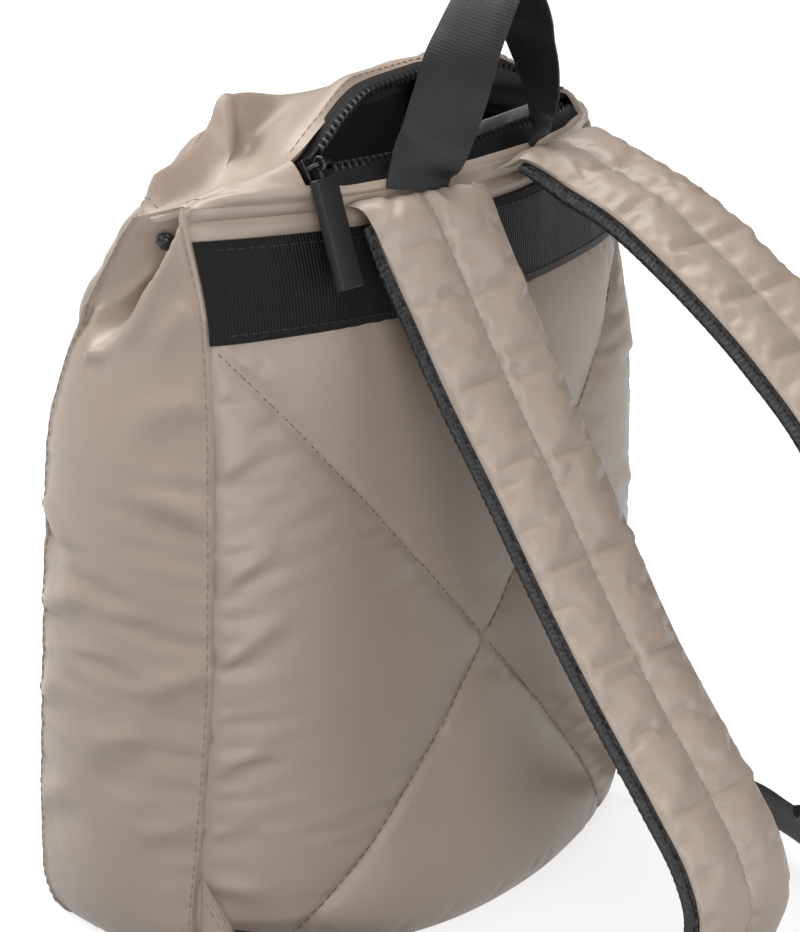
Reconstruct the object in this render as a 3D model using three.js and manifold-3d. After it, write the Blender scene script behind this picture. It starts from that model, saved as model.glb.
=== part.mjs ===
import * as THREE from "three";
import Module from "manifold-3d";

const wasm = await Module();
wasm.setup();

// Mini backpack in millimetres. The back with its straps faces -Y, +Z is up, the base rests on z = 0.

// Heights of the seams that close the walls at the top
const REAR_SEAM_HEIGHT = 278;
const FRONT_CORNER_HEIGHT = 270;

// Wall thicknesses, the gap between neighbouring pieces and how far a panel's edge keeps from its seam
const CLOTH = 2.2;
const BACK_PADDING = 4.5;
const BASE_BOARD = 3;
const LINING = 1;
const LINING_CLEARANCE = 3.5;
const GAP = 0.3;
const EDGE_PULL = 0.5;

// Points closer than one part in these scales of a millimetre are one point
const SEAM_SCALE = 100;
const MERGE_SCALE = 10000;

// Webbing sizes
const BAND_LOW = 233;
const BAND_HIGH = 267;
const BAND_THICKNESS = 1.6;
const BAND_REACH = 0.98;
const HANDLE_WIDTH = 25;
const HANDLE_THICKNESS = 2.2;
const WEBBING_WIDTH = 20;
const WEBBING_THICKNESS = 1.8;

// Shoulder straps
const STRAP_WIDTH = 50;
const MESH_WIDTH = 48;
const MESH_THICKNESS = 4.6;

// Quilting of the back panel: two lines that cross and run to the lower corners of the band
const QUILT_CROSSING = 106;
const QUILT_SLOPE = 127;
const QUILT_PUFF = 3;
const QUILT_REACH = 30;

// Zip
const TOOTH_PITCH = 3.2;
const TOOTH_ROOT = 1.8;
const TOOTH_REACH = 1.9;
const TOOTH_THICKNESS = 2.6;
const TAPE_THICKNESS = 1;
const TEETH_LEFT_END = -0.575;
const TEETH_RIGHT_END = 0.58;

// Outline of the walls: a row for each level, as a fraction of the wall height
// left and right are half widths and leftY and rightY the rear corners; back, front and mid are y of
// the back's centre, the front corners and the front's centre; out is the bulge of the side walls
const LEVELS = [
  { level: 0.0, left: 104, leftY: -24, right: 113, rightY: -40, back: -69, front: 46, mid: 60, out: 3 },
  { level: 0.025, left: 108, leftY: -26, right: 116, rightY: -42, back: -74, front: 49, mid: 66, out: 5 },
  { level: 0.08, left: 110.5, leftY: -28, right: 118, rightY: -43, back: -75, front: 51, mid: 69, out: 7 },
  { level: 0.2, left: 111, leftY: -33, right: 119, rightY: -44, back: -72, front: 50, mid: 72, out: 9 },
  { level: 0.45, left: 111.5, leftY: -40, right: 120, rightY: -44, back: -68, front: 45.5, mid: 70, out: 10 },
  { level: 0.67, left: 111, leftY: -41, right: 119, rightY: -44, back: -67, front: 42, mid: 61, out: 9 },
  { level: 0.85, left: 109, leftY: -38, right: 111, rightY: -42, back: -67, front: 27, mid: 40, out: 7 },
  { level: 0.96, left: 108, leftY: -30, right: 107, rightY: -34, back: -67, front: 9.5, mid: 21, out: 4 },
  { level: 1.0, left: 108, leftY: -26.5, right: 106, rightY: -31, back: -66, front: 1, mid: 11, out: 0 },
];

// How much narrower the front is than the back, at each corner
const FRONT_INSET = 3;

// Inward fold of each side wall: where it lies from rear to front, its depth and how far it reaches
// behind and ahead of its deepest line
const SIDE_FOLD = [
  { level: 0.79, place: 0.7, depth: 0, behind: 0.3, ahead: 0.26 },
  { level: 0.83, place: 0.68, depth: 5, behind: 0.32, ahead: 0.28 },
  { level: 0.87, place: 0.62, depth: 12, behind: 0.34, ahead: 0.36 },
  { level: 0.91, place: 0.54, depth: 16, behind: 0.36, ahead: 0.44 },
  { level: 0.94, place: 0.45, depth: 17.5, behind: 0.36, ahead: 0.53 },
  { level: 0.97, place: 0.38, depth: 16, behind: 0.38, ahead: 0.6 },
  { level: 1.0, place: 0.34, depth: 13, behind: 0.34, ahead: 0.64 },
];

// Height of the front wall's upper edge from the middle to the corner
const FRONT_EDGE = [
  { across: 0.0, height: 288 },
  { across: 0.3, height: 289 },
  { across: 0.55, height: 291 },
  { across: 0.7, height: 282.5 },
  { across: 0.85, height: 275.5 },
  { across: 1.0, height: FRONT_CORNER_HEIGHT },
];

// Top panel from the middle to its last station before the side seam, from rear to front:
// lip, rear zip edge, front zip edge, fold of the zip strip, dip and front ridge
const TOP_STATIONS = [
  {
    across: 0.0, lipY: -65.5, lipZ: 279.3, rearY: -63, rearZ: 280.8, frontY: -37, frontZ: 310.8,
    foldY: -32, foldZ: 312.3, dipY: -13, dipZ: 306, ridgeY: -1, ridgeZ: 298.5,
  },
  {
    across: 0.3, lipY: -63.5, lipZ: 279.3, rearY: -61, rearZ: 280.8, frontY: -39, frontZ: 309.2,
    foldY: -35, foldZ: 312.5, dipY: -14, dipZ: 301.5, ridgeY: -1, ridgeZ: 300.4,
  },
  {
    across: 0.55, lipY: -57, lipZ: 279.3, rearY: -55.5, rearZ: 281, frontY: -42.8, frontZ: 298.2,
    foldY: -37.5, foldZ: 300.2, dipY: -15, dipZ: 289, ridgeY: -1, ridgeZ: 302.8,
  },
  {
    across: 0.62, lipY: -54.5, lipZ: 279.8, rearY: -53, rearZ: 282, frontY: -43.7, frontZ: 294.3,
    foldY: -37.5, foldZ: 295, dipY: -15, dipZ: 284.5, ridgeY: -1, ridgeZ: 295.2,
  },
  {
    across: 0.7, lipY: -51.5, lipZ: 281.5, rearY: -51.3, rearZ: 283.6, frontY: -44.9, frontZ: 291.2,
    foldY: -38, foldZ: 289.3, dipY: -15, dipZ: 278, ridgeY: -1, ridgeZ: 288.8,
  },
  {
    across: 0.8, lipY: -45.5, lipZ: 283, rearY: -43.5, rearZ: 285.5, frontY: -40, frontZ: 287,
    foldY: -33, foldZ: 284.5, dipY: -13, dipZ: 275.5, ridgeY: -1.5, ridgeZ: 284.5,
  },
  {
    across: 0.9, lipY: -37.5, lipZ: 282, rearY: -35.5, rearZ: 283.5, frontY: -31.5, frontZ: 283.5,
    foldY: -25.5, foldZ: 280.5, dipY: -10, dipZ: 274, ridgeY: -1.5, ridgeZ: 281.8,
  },
];

// Lines of the zip teeth from the middle of the mouth to its ends
const TEETH = [
  { across: 0.0, rearY: -59.5, rearZ: 286, frontY: -40.8, frontZ: 309.8 },
  { across: 0.3, rearY: -57, rearZ: 287.3, frontY: -43.3, frontZ: 307.8 },
  { across: 0.55, rearY: -52.5, rearZ: 287.5, frontY: -46.3, frontZ: 296.6 },
  { across: 0.7, rearY: -49, rearZ: 288, frontY: -47.3, frontZ: 290 },
];

// Handle loop: centre line and the turn of its width from the x axis, in degrees
const HANDLE_PATH = [
  { x: -34.8, y: -66.9, z: 282, turn: -20 },
  { x: -33.8, y: -68.4, z: 286.5, turn: -30 },
  { x: -31, y: -70.3, z: 293, turn: -42 },
  { x: -29, y: -73, z: 303, turn: -50 },
  { x: -26.8, y: -75, z: 312.3, turn: -57 },
  { x: -25.2, y: -77, z: 321.5, turn: -66 },
  { x: -21.6, y: -78, z: 329.2, turn: -74 },
  { x: -14.5, y: -79, z: 340.4, turn: -82 },
  { x: -8, y: -79, z: 346.5, turn: -87 },
  { x: -1.5, y: -78.5, z: 346.5, turn: -90 },
  { x: 5, y: -77.3, z: 339, turn: -93 },
  { x: 10.5, y: -76, z: 331, turn: -95 },
  { x: 13.8, y: -75, z: 323.5, turn: -97 },
  { x: 17.4, y: -74, z: 317.3, turn: -101 },
  { x: 22.5, y: -72, z: 308.5, turn: -109 },
  { x: 25.5, y: -71, z: 302.3, turn: -114 },
  { x: 27.3, y: -71, z: 294, turn: -121 },
  { x: 26, y: -72, z: 288.5, turn: -134 },
  { x: 23, y: -71, z: 284.8, turn: -150 },
];

// Shoulder straps: centre line of the outer face, the padding under it and the turn of the width
// from the x axis, in degrees
const LEFT_STRAP = [
  { x: -33.8, y: -64, z: 275.2, pad: 1.6, turn: -16 },
  { x: -35.3, y: -69, z: 276.8, pad: 2.8, turn: -15 },
  { x: -35.8, y: -74.5, z: 272.8, pad: 3.8, turn: -14 },
  { x: -35.5, y: -81, z: 262, pad: 4.2, turn: -13 },
  { x: -34.5, y: -91, z: 244, pad: 4.2, turn: -11 },
  { x: -34.5, y: -104.5, z: 221, pad: 4.2, turn: -9 },
  { x: -34.5, y: -125, z: 190, pad: 4.2, turn: -6 },
  { x: -35, y: -143, z: 162, pad: 4.2, turn: -3 },
  { x: -36, y: -164, z: 132, pad: 4.2, turn: 0 },
  { x: -36, y: -193, z: 94, pad: 4.2, turn: 0 },
  { x: -36, y: -207, z: 74, pad: 4.2, turn: 0 },
  { x: -36, y: -212.5, z: 56, pad: 4.2, turn: 0 },
  { x: -36, y: -208.5, z: 39, pad: 4, turn: 0 },
  { x: -38, y: -198, z: 23, pad: 3.6, turn: 0 },
];
const RIGHT_STRAP = [
  { x: 35, y: -66.5, z: 280, pad: 1.6, turn: 11 },
  { x: 35, y: -74, z: 283, pad: 2.8, turn: 10 },
  { x: 35, y: -84, z: 282, pad: 4, turn: 6 },
  { x: 35, y: -97, z: 277.5, pad: 4.2, turn: 3 },
  { x: 35, y: -118, z: 270, pad: 4.2, turn: 0 },
  { x: 35, y: -140, z: 257, pad: 4.2, turn: 0 },
  { x: 35, y: -159, z: 244, pad: 4.2, turn: 0 },
  { x: 35, y: -178, z: 229, pad: 4.2, turn: 0 },
  { x: 35, y: -200, z: 208, pad: 4.2, turn: 0 },
  { x: 35, y: -219, z: 180, pad: 4.2, turn: 0 },
  { x: 35, y: -229, z: 148, pad: 4.2, turn: 0 },
  { x: 36, y: -228, z: 117, pad: 4, turn: 0 },
  { x: 38, y: -218, z: 92, pad: 4, turn: 0 },
  { x: 41, y: -206, z: 76, pad: 3.6, turn: 0 },
];

// Cross section of a strap pad: across its half width and down through its padding
const PAD_SECTION = [
  { across: -1, depth: 0.55 },
  { across: -0.94, depth: 0.2 },
  { across: -0.55, depth: 0 },
  { across: 0, depth: 0.2 },
  { across: 0.55, depth: 0 },
  { across: 0.94, depth: 0.2 },
  { across: 1, depth: 0.55 },
  { across: 0.95, depth: 1 },
  { across: -0.95, depth: 1 },
];

// Narrow webbing: centre line from the corner tab to the strap end, and the lean of its width
// from upright, 0, to lying flat, 90
const LEFT_WEBBING = [
  { x: -107.5, y: -44, z: 11.6, lean: 0 },
  { x: -103, y: -57, z: 11.4, lean: 8 },
  { x: -93, y: -79, z: 9.5, lean: 30 },
  { x: -79, y: -105, z: 6, lean: 62 },
  { x: -63, y: -132, z: 3, lean: 84 },
  { x: -49, y: -157, z: 2.5, lean: 90 },
  { x: -43, y: -171, z: 2.7, lean: 94 },
];
const RIGHT_WEBBING = [
  { x: 115.5, y: -60, z: 11.6, lean: 0 },
  { x: 117, y: -74, z: 13, lean: 4 },
  { x: 116, y: -94, z: 15.5, lean: 10 },
  { x: 110, y: -119, z: 18, lean: 20 },
  { x: 93, y: -147, z: 22, lean: 40 },
  { x: 68, y: -171, z: 35, lean: 70 },
  { x: 50, y: -183, z: 53, lean: 90 },
];

// Corner tabs: a trapezium that stands out from the rear seam
const TAB_DIRECTION = { x: 0.1, y: -0.995 };
const TAB_THICKNESS = 2.6;
const TAB_SEAM_THICKNESS = 0.8;
const TAB_SEAM_HIGH = 38;
const TAB_SEAM_LOW = 9;
const TAB_TIP_LOW = 2.5;
const TAB_MIDDLE = 20;
const TAB_TIP_HIGH = 22;
const TAB_LENGTH = 13;
const TAB_CLEARANCE = 2.2;

// Last stretch of the narrow webbing, under the end bar of its slide: along and below the slide
const WEBBING_END = [
  { ahead: 14.5, below: 4.4, lean: 105 },
  { ahead: 7, below: 3.5, lean: 107 },
];

// Strap adjuster: a flat slide with two slots
const ADJUSTER_WIDTH = 28;
const ADJUSTER_LENGTH = 22;
const ADJUSTER_THICKNESS = 3.2;
const ADJUSTER_SLOT = 5;
const ADJUSTER_BAR = 3;

// Snap caps in the side folds
const SNAP_RADIUS = 3.6;
const SNAP_HEIGHT = 2.6;
const SNAP_PLACE = 0.58;
const SNAP_LEVEL = 0.955;
const SNAP_CLEARANCE = 3.8;

// Slider at the left end of the zip and the bar that hangs from its bridge
const SLIDER = { x: -68.5, y: -48.8, z: 287.4 };
const SLIDER_TILT = 58;
const SLIDER_LENGTH = 11;
const SLIDER_WIDTH = 7.6;
const SLIDER_THICKNESS = 4;
const BRIDGE_RADIUS = 0.9;
const BRIDGE_HEIGHT = 6;
const BRIDGE_SPAN = 9;
const RING_RADIUS = 2.2;
const RING_WIRE = 0.75;
const RING_SHIFT = -2.5;
const PULLER_HANG = 18;
const PULLER_START = 4.8;
const PULLER_LENGTH = 38;
const PULLER_WIDTH = 10.5;
const PULLER_THICKNESS = 4;
const PULLER_BEVEL = 0.7;

// Columns of the panels: across the back, front and top, and from rear to front on the sides
const HALF_COLUMNS = [0.13, 0.26, 0.4, 0.55, 0.7, 0.8, 0.9, 1];
const COLUMNS = [...HALF_COLUMNS.map((a) => -a).reverse(), 0, ...HALF_COLUMNS];
const SIDE_COLUMNS = [0, 0.1, 0.2, 0.32, 0.44, 0.56, 0.68, 0.76, 0.84, 0.92, 1];
const ZIP_END = 0.7;
const REAR_ZIP_STEP = 2;

// Rows of the walls: the heights where the quilting lines meet the columns, and those of the band
const QUILT_ROWS = [...HALF_COLUMNS.map((a) => QUILT_CROSSING + QUILT_SLOPE * a)];
const LOWER_ROWS = HALF_COLUMNS.map((a) => QUILT_CROSSING - QUILT_SLOPE * a).filter((z) => z > 2).reverse();
const ROWS = [0, ...LOWER_ROWS, QUILT_CROSSING, ...QUILT_ROWS, 250, BAND_HIGH, REAR_SEAM_HEIGHT];
const ROW_LEVELS = ROWS.map((z) => z / REAR_SEAM_HEIGHT);

const vec = (x, y, z) => new THREE.Vector3(x, y, z);
const clamp01 = (value) => Math.min(1, Math.max(0, value));

// Value of a column between the rows of a table, without overshoot
function between(rows, by, at, column) {
  const last = rows.length - 1;
  let i = 0;
  while (i < last - 1 && at > rows[i + 1][by]) i += 1;
  const step = (k) => (rows[k + 1][column] - rows[k][column]) / (rows[k + 1][by] - rows[k][by]);
  const slope = (k) => {
    if (k === 0) return step(0);
    if (k === last) return step(last - 1);
    const before = step(k - 1);
    const after = step(k);
    return before * after <= 0 ? 0 : (2 * before * after) / (before + after);
  };
  const width = rows[i + 1][by] - rows[i][by];
  const t = clamp01((at - rows[i][by]) / width);
  const a = rows[i][column];
  const b = rows[i + 1][column];
  const bend = t * t * (3 - 2 * t);
  const lead = t * (1 - t) * (1 - t) * slope(i) * width;
  const trail = t * t * (1 - t) * slope(i + 1) * width;
  return a + (b - a) * bend + lead - trail;
}

const wallAt = (level, column) => between(LEVELS, "level", level, column);

// Puff of the padding between the quilting lines
function quiltPuff(u, z) {
  if (z > BAND_LOW) return 0;
  const rising = Math.abs(z - QUILT_CROSSING - QUILT_SLOPE * u);
  const falling = Math.abs(z - QUILT_CROSSING + QUILT_SLOPE * u);
  const away = clamp01(Math.min(rising, falling) / QUILT_REACH);
  const edge = clamp01((1 - Math.abs(u)) / 0.12) * clamp01(z / 20) * clamp01((BAND_LOW - z) / 15);
  return QUILT_PUFF * edge * (1 - (1 - away) * (1 - away));
}

// Outer surfaces of the walls
const halfAt = (u, level) => wallAt(level, u < 0 ? "left" : "right");

function backPoint(u, level) {
  const z = level * REAR_SEAM_HEIGHT;
  const rear = wallAt(level, u < 0 ? "leftY" : "rightY");
  const middle = wallAt(level, "back");
  const y = middle + (rear - middle) * u * u;
  return vec(halfAt(u, level) * u, y - quiltPuff(u, z), z);
}

function frontPoint(u, level) {
  const height = between(FRONT_EDGE, "across", Math.abs(u), "height");
  const front = wallAt(level, "front");
  const sag = (wallAt(level, "mid") - front) * (1 - u * u);
  return vec((halfAt(u, level) - FRONT_INSET) * u, front + sag, level * height);
}

function sidePoint(side, t, level) {
  const rear = backPoint(side, level);
  const front = frontPoint(side, level);
  const at = (column) => between(SIDE_FOLD, "level", Math.max(level, SIDE_FOLD[0].level), column);
  const off = t - at("place");
  const near = clamp01(1 - Math.abs(off) / at(off < 0 ? "behind" : "ahead"));
  const fold = at("depth") * near;
  const out = 4 * t * (1 - t) * wallAt(level, "out") - fold;
  return rear.lerp(front, t).add(vec(side * out, 0, 0));
}

// Top panel, k counting the side columns from the rear seam to the front seam
function topPoint(u, k) {
  const across = Math.abs(u);
  const side = u < 0 ? -1 : 1;
  const edge = sidePoint(side, SIDE_COLUMNS[k], 1);
  if (k === 0) return backPoint(u, 1);
  if (k === SIDE_COLUMNS.length - 1) return frontPoint(u, 1);
  if (across === 1) return edge;
  const last = TOP_STATIONS[TOP_STATIONS.length - 1].across;
  const at = (column) => between(TOP_STATIONS, "across", Math.min(across, last), column);
  const stops = [
    { step: 0, y: backPoint(u, 1).y, z: backPoint(u, 1).z },
    { step: 1, y: at("lipY"), z: at("lipZ") },
    { step: 2, y: at("rearY"), z: at("rearZ") },
    { step: 3, y: at("frontY"), z: at("frontZ") },
    { step: 4, y: at("foldY"), z: at("foldZ") },
    { step: 6, y: at("dipY"), z: at("dipZ") },
    { step: 8, y: at("ridgeY"), z: at("ridgeZ") },
    { step: 10, y: frontPoint(u, 1).y, z: frontPoint(u, 1).z },
  ];
  const half = wallAt(1, "left");
  const outer = clamp01((across - ZIP_END) / (1 - ZIP_END));
  const inner = Math.min(across, ZIP_END) * half;
  const x = side * (inner + (Math.abs(edge.x) - ZIP_END * half) * outer);
  return vec(x, between(stops, "step", k, "y"), between(stops, "step", k, "z"));
}

// Normals of a grid of points, turned away from the middle of the bag
function gridNormals(grid, isHole) {
  const normals = grid.map((line) => line.map(() => vec(0, 0, 0)));
  const middle = vec(0, 0, 0.5 * REAR_SEAM_HEIGHT);
  let outward = 0;
  for (let i = 0; i + 1 < grid.length; i += 1) {
    for (let j = 0; j + 1 < grid[0].length; j += 1) {
      if (isHole(i, j)) continue;
      const one = grid[i + 1][j + 1].clone().sub(grid[i][j]);
      const two = grid[i][j + 1].clone().sub(grid[i + 1][j]);
      const normal = one.cross(two);
      outward += normal.dot(grid[i][j].clone().sub(middle));
      for (const [a, b] of [[i, j], [i + 1, j], [i, j + 1], [i + 1, j + 1]]) normals[a][b].add(normal);
    }
  }
  const sign = outward < 0 ? -1 : 1;
  return normals.map((line) => line.map((n) => n.normalize().multiplyScalar(sign)));
}

// Step from the outer to the inner surface where one or more walls meet
function inwardStep(faces) {
  const weights = faces.map(() => 0);
  const ease = 0.04;
  for (let round = 0; round < 80; round += 1) {
    faces.forEach((face, i) => {
      let rest = -face.wall;
      faces.forEach((other, j) => {
        if (i !== j) rest -= face.normal.dot(other.normal) * weights[j];
      });
      weights[i] = rest / (1 + ease);
    });
  }
  const step = vec(0, 0, 0);
  faces.forEach((face, i) => step.addScaledVector(face.normal, weights[i]));
  const most = 1.8 * Math.max(...faces.map((face) => face.wall));
  return step.clampLength(0, most);
}

const seamKey = (p) => [p.x, p.y, p.z].map((value) => Math.round(value * SEAM_SCALE) + 0).join(" ");

// Closed solid from triangles, turned so that its faces look out
function solidGeometry(points, triangles) {
  let volume = 0;
  for (const [a, b, c] of triangles) volume += points[a].dot(points[b].clone().cross(points[c]));
  const index = triangles.flatMap(([a, b, c]) => (volume < 0 ? [a, c, b] : [a, b, c]));
  const geometry = new THREE.BufferGeometry();
  const flat = points.flatMap((p) => [p.x, p.y, p.z]);
  geometry.setAttribute("position", new THREE.Float32BufferAttribute(flat, 3));
  geometry.setIndex(index);
  geometry.computeVertexNormals();
  return geometry;
}

// Wall between an outer and an inner grid, closed round its edges and its hole;
// the rim's diagonals are chosen by place, so that both walls of a seam split it alike
function sheetGeometry(outer, inner, isHole, isRising) {
  const lines = outer.length;
  const steps = outer[0].length;
  const points = [...outer.flat(), ...inner.flat()];
  const at = (i, j) => i * steps + j;
  const under = lines * steps;
  const isCell = (i, j) => i >= 0 && j >= 0 && i < lines - 1 && j < steps - 1 && !isHole(i, j);
  const triangles = [];
  const quad = (a, b, c, d) => triangles.push([a, b, c], [a, c, d]);
  const rank = (k) => points[k].z + 0.37 * points[k].y + 0.11 * Math.abs(points[k].x);
  const rim = (a, b) => {
    if (rank(a) < rank(b)) quad(a, b, b + under, a + under);
    else quad(b, b + under, a + under, a);
  };
  for (let i = 0; i < lines - 1; i += 1) {
    for (let j = 0; j < steps - 1; j += 1) {
      if (!isCell(i, j)) continue;
      const [a, b, c, d] = [at(i, j), at(i + 1, j), at(i + 1, j + 1), at(i, j + 1)];
      const corners = isRising(i, j) ? [a, b, c, d] : [b, c, d, a];
      quad(...corners);
      quad(...corners.map((k) => k + under).reverse());
      if (!isCell(i, j - 1)) rim(b, a);
      if (!isCell(i + 1, j)) rim(c, b);
      if (!isCell(i, j + 1)) rim(d, c);
      if (!isCell(i - 1, j)) rim(a, d);
    }
  }
  const used = [...new Set(triangles.flat())];
  const place = new Map(used.map((k, n) => [k, n]));
  return solidGeometry(used.map((k) => points[k]), triangles.map((t) => t.map((k) => place.get(k))));
}

const never = () => false;
const always = () => true;

// The sewn walls: a grid of outer points for each panel
const isMouth = (i, j) => j === REAR_ZIP_STEP && Math.abs(COLUMNS[i] + COLUMNS[i + 1]) / 2 < ZIP_END;
const isRightHalf = (i) => COLUMNS[i] + COLUMNS[i + 1] > 0;
const isUpperHalf = (j) => ROWS[j] + ROWS[j + 1] > 2 * QUILT_CROSSING;
const isQuiltRising = (i, j) => isRightHalf(i) === isUpperHalf(j);
const steps = SIDE_COLUMNS.map((_, k) => k);
const panelGrid = (columns, rows, point) => columns.map((c) => rows.map((r) => point(c, r)));
const panels = {
  back_panel: {
    outer: panelGrid(COLUMNS, ROW_LEVELS, backPoint),
    wall: BACK_PADDING, isHole: never, isRising: isQuiltRising,
  },
  front_panel: {
    outer: panelGrid(COLUMNS, ROW_LEVELS, frontPoint),
    wall: CLOTH, isHole: never, isRising: isRightHalf,
  },
  side_panel_left: {
    outer: panelGrid(SIDE_COLUMNS, ROW_LEVELS, (t, level) => sidePoint(-1, t, level)),
    wall: CLOTH, isHole: never, isRising: always,
  },
  side_panel_right: {
    outer: panelGrid(SIDE_COLUMNS, ROW_LEVELS, (t, level) => sidePoint(1, t, level)),
    wall: CLOTH, isHole: never, isRising: always,
  },
  top_panel: {
    outer: panelGrid(COLUMNS, steps, topPoint),
    wall: CLOTH, isHole: isMouth, isRising: isRightHalf,
  },
};

// Walls that share a seam point share its inner point too, so their edges are mitred there;
// padding thins out to plain cloth at the seams
const seams = new Map();
for (const panel of Object.values(panels)) {
  panel.normals = gridNormals(panel.outer, panel.isHole);
  panel.outer.forEach((line, i) => line.forEach((p, j) => {
    const key = seamKey(p);
    const isEdge = i === 0 || j === 0 || i === panel.outer.length - 1 || j === line.length - 1;
    if (!seams.has(key)) seams.set(key, []);
    seams.get(key).push({ normal: panel.normals[i][j], wall: isEdge ? CLOTH : panel.wall });
  }));
}
const BASE_FACE = { normal: vec(0, 0, -1), wall: BASE_BOARD };
const facesAt = (p) => [...seams.get(seamKey(p)), ...(p.z < 0.01 ? [BASE_FACE] : [])];

// Pull of a panel's edge points away from the seam
function edgePull(grid, i, j) {
  const pull = vec(0, 0, 0);
  const towards = (a, b) => pull.add(grid[a][b].clone().sub(grid[i][j]).normalize());
  if (i === 0) towards(1, j);
  if (i === grid.length - 1) towards(i - 1, j);
  if (j === 0) towards(i, 1);
  if (j === grid[0].length - 1) towards(i, j - 1);
  return pull.multiplyScalar(EDGE_PULL);
}

function panelGeometry(panel) {
  const pulls = panel.outer.map((line, i) => line.map((_, j) => edgePull(panel.outer, i, j)));
  const pulled = (step) => panel.outer.map((line, i) => line.map((p, j) => step(p).add(pulls[i][j])));
  const outer = pulled((p) => p.clone());
  const inner = pulled((p) => p.clone().add(inwardStep(facesAt(p))));
  return sheetGeometry(outer, inner, panel.isHole, panel.isRising);
}

// Base board inside the bottom seam
function baseGeometry() {
  const bottom = (name) => panels[name].outer.map((line) => line[0]);
  const loop = [
    ...bottom("back_panel"),
    ...bottom("side_panel_right").slice(1, -1),
    ...bottom("front_panel").reverse(),
    ...bottom("side_panel_left").slice(1, -1).reverse(),
  ];
  const shrink = (p, by) => vec(p.x, p.y, 0).setLength(p.length() - by);
  const low = loop.map((p) => shrink(p, 1.5 * GAP));
  const high = loop.map((p) => p.clone().add(inwardStep(facesAt(p))));
  const top = high.map((p) => shrink(vec(p.x, p.y, 0), 1.5 * GAP).setZ(BASE_BOARD));
  const flat = low.map((p) => new THREE.Vector2(p.x, p.y));
  const cover = THREE.ShapeUtils.triangulateShape(flat, []);
  const count = loop.length;
  const triangles = cover.flatMap(([a, b, c]) => [[c, b, a], [a + count, b + count, c + count]]);
  for (let i = 0; i < count; i += 1) {
    const next = (i + 1) % count;
    triangles.push([i, next, next + count], [i, next + count, i + count]);
  }
  return solidGeometry([...low, ...top], triangles);
}

// Lining: a bag that hangs inside the walls, open at the top
const LINING_LEVELS = [0.03, 0.12, 0.3, 0.5, 0.7, 0.84, 0.93];
const LINING_ACROSS = [-1, -0.72, -0.45, -0.15, 0.15, 0.45, 0.72, 1];

function liningRing(level, inset) {
  const depth = between(SIDE_FOLD, "level", Math.max(level, SIDE_FOLD[0].level), "depth");
  const reach = (u) => halfAt(u, level) - FRONT_INSET - depth - inset;
  const z = Math.max(level * FRONT_CORNER_HEIGHT, BASE_BOARD);
  const place = (u) => (u * reach(u)) / halfAt(u, level);
  const rear = (u) => backPoint(place(u), level).y + BACK_PADDING - CLOTH + inset;
  const front = (u) => frontPoint(place(u), level).y - inset;
  return [
    ...LINING_ACROSS.map((u) => vec(u * reach(u), rear(u), z)),
    ...[...LINING_ACROSS].reverse().map((u) => vec(u * reach(u), front(u), z)),
  ];
}

function liningGeometry() {
  const outside = CLOTH + LINING_CLEARANCE;
  const outer = LINING_LEVELS.map((level) => liningRing(level, outside));
  const inner = LINING_LEVELS.map((level) => liningRing(level, outside + LINING));
  inner[0].forEach((p) => p.setZ(p.z + LINING));
  const count = outer[0].length;
  const rings = [...outer, ...[...inner].reverse()];
  const triangles = [];
  for (let k = 0; k + 1 < rings.length; k += 1) {
    for (let i = 0; i < count; i += 1) {
      const next = (i + 1) % count;
      const [a, b] = [k * count + i, k * count + next];
      triangles.push([a, b, b + count], [a, b + count, a + count]);
    }
  }
  const cover = (ring) => THREE.ShapeUtils.triangulateShape(ring.map((p) => new THREE.Vector2(p.x, p.y)), []);
  const last = (rings.length - 1) * count;
  for (const [a, b, c] of cover(outer[0])) triangles.push([c, b, a]);
  for (const [a, b, c] of cover(inner[0])) triangles.push([a + last, b + last, c + last]);
  return solidGeometry(rings.flat(), triangles);
}

// Webbing band across the back, following the back panel
function bandGeometry() {
  const inside = COLUMNS.map((u) => THREE.MathUtils.clamp(u, -BAND_REACH, BAND_REACH));
  const rows = [BAND_LOW, 250, BAND_HIGH].map((z) => z / REAR_SEAM_HEIGHT);
  const surface = panelGrid(inside, rows, backPoint);
  const normals = gridNormals(surface, never);
  const raise = (by) =>
    surface.map((line, i) => line.map((p, j) => p.clone().addScaledVector(normals[i][j], by)));
  return sheetGeometry(raise(GAP + BAND_THICKNESS), raise(GAP), never, isRightHalf);
}

// Frames along a path: place, width direction and face direction
function pathFrames(rows, widthAt, count) {
  const curve = new THREE.CatmullRomCurve3(rows.map((row) => vec(row.x, row.y, row.z)));
  const frames = [];
  for (let n = 0; n <= count; n += 1) {
    const t = n / count;
    const along = curve.getTangent(t);
    const row = t * (rows.length - 1);
    const width = widthAt(row, along);
    width.addScaledVector(along, -width.dot(along)).normalize();
    const face = width.clone().cross(along);
    frames.push({ place: curve.getPoint(t), along, width, face, row });
  }
  return frames;
}

// Number between two rows of a path table
function rowValue(rows, row, column) {
  const i = Math.min(Math.floor(row), rows.length - 2);
  return rows[i][column] + (rows[i + 1][column] - rows[i][column]) * (row - i);
}

// Solid swept through sections: each section is a loop of points
function loftGeometry(sections) {
  const count = sections[0].length;
  const triangles = [];
  for (let k = 0; k + 1 < sections.length; k += 1) {
    for (let i = 0; i < count; i += 1) {
      const next = (i + 1) % count;
      const [a, b] = [k * count + i, k * count + next];
      triangles.push([a, b, b + count], [a, b + count, a + count]);
    }
  }
  const last = (sections.length - 1) * count;
  for (let i = 1; i + 1 < count; i += 1) triangles.push([0, i + 1, i], [last, last + i, last + i + 1]);
  return solidGeometry(sections.flat(), triangles);
}

const framePoint = (frame, across, down) =>
  frame.place.clone().addScaledVector(frame.width, across).addScaledVector(frame.face, -down);

function ribbonGeometry(frames, width, thickness) {
  const half = width / 2;
  const rim = thickness / 2;
  const corners = [[-half, -rim], [half, -rim], [half, rim], [-half, rim]];
  return loftGeometry(frames.map((frame) => corners.map(([a, d]) => framePoint(frame, a, d))));
}

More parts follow.
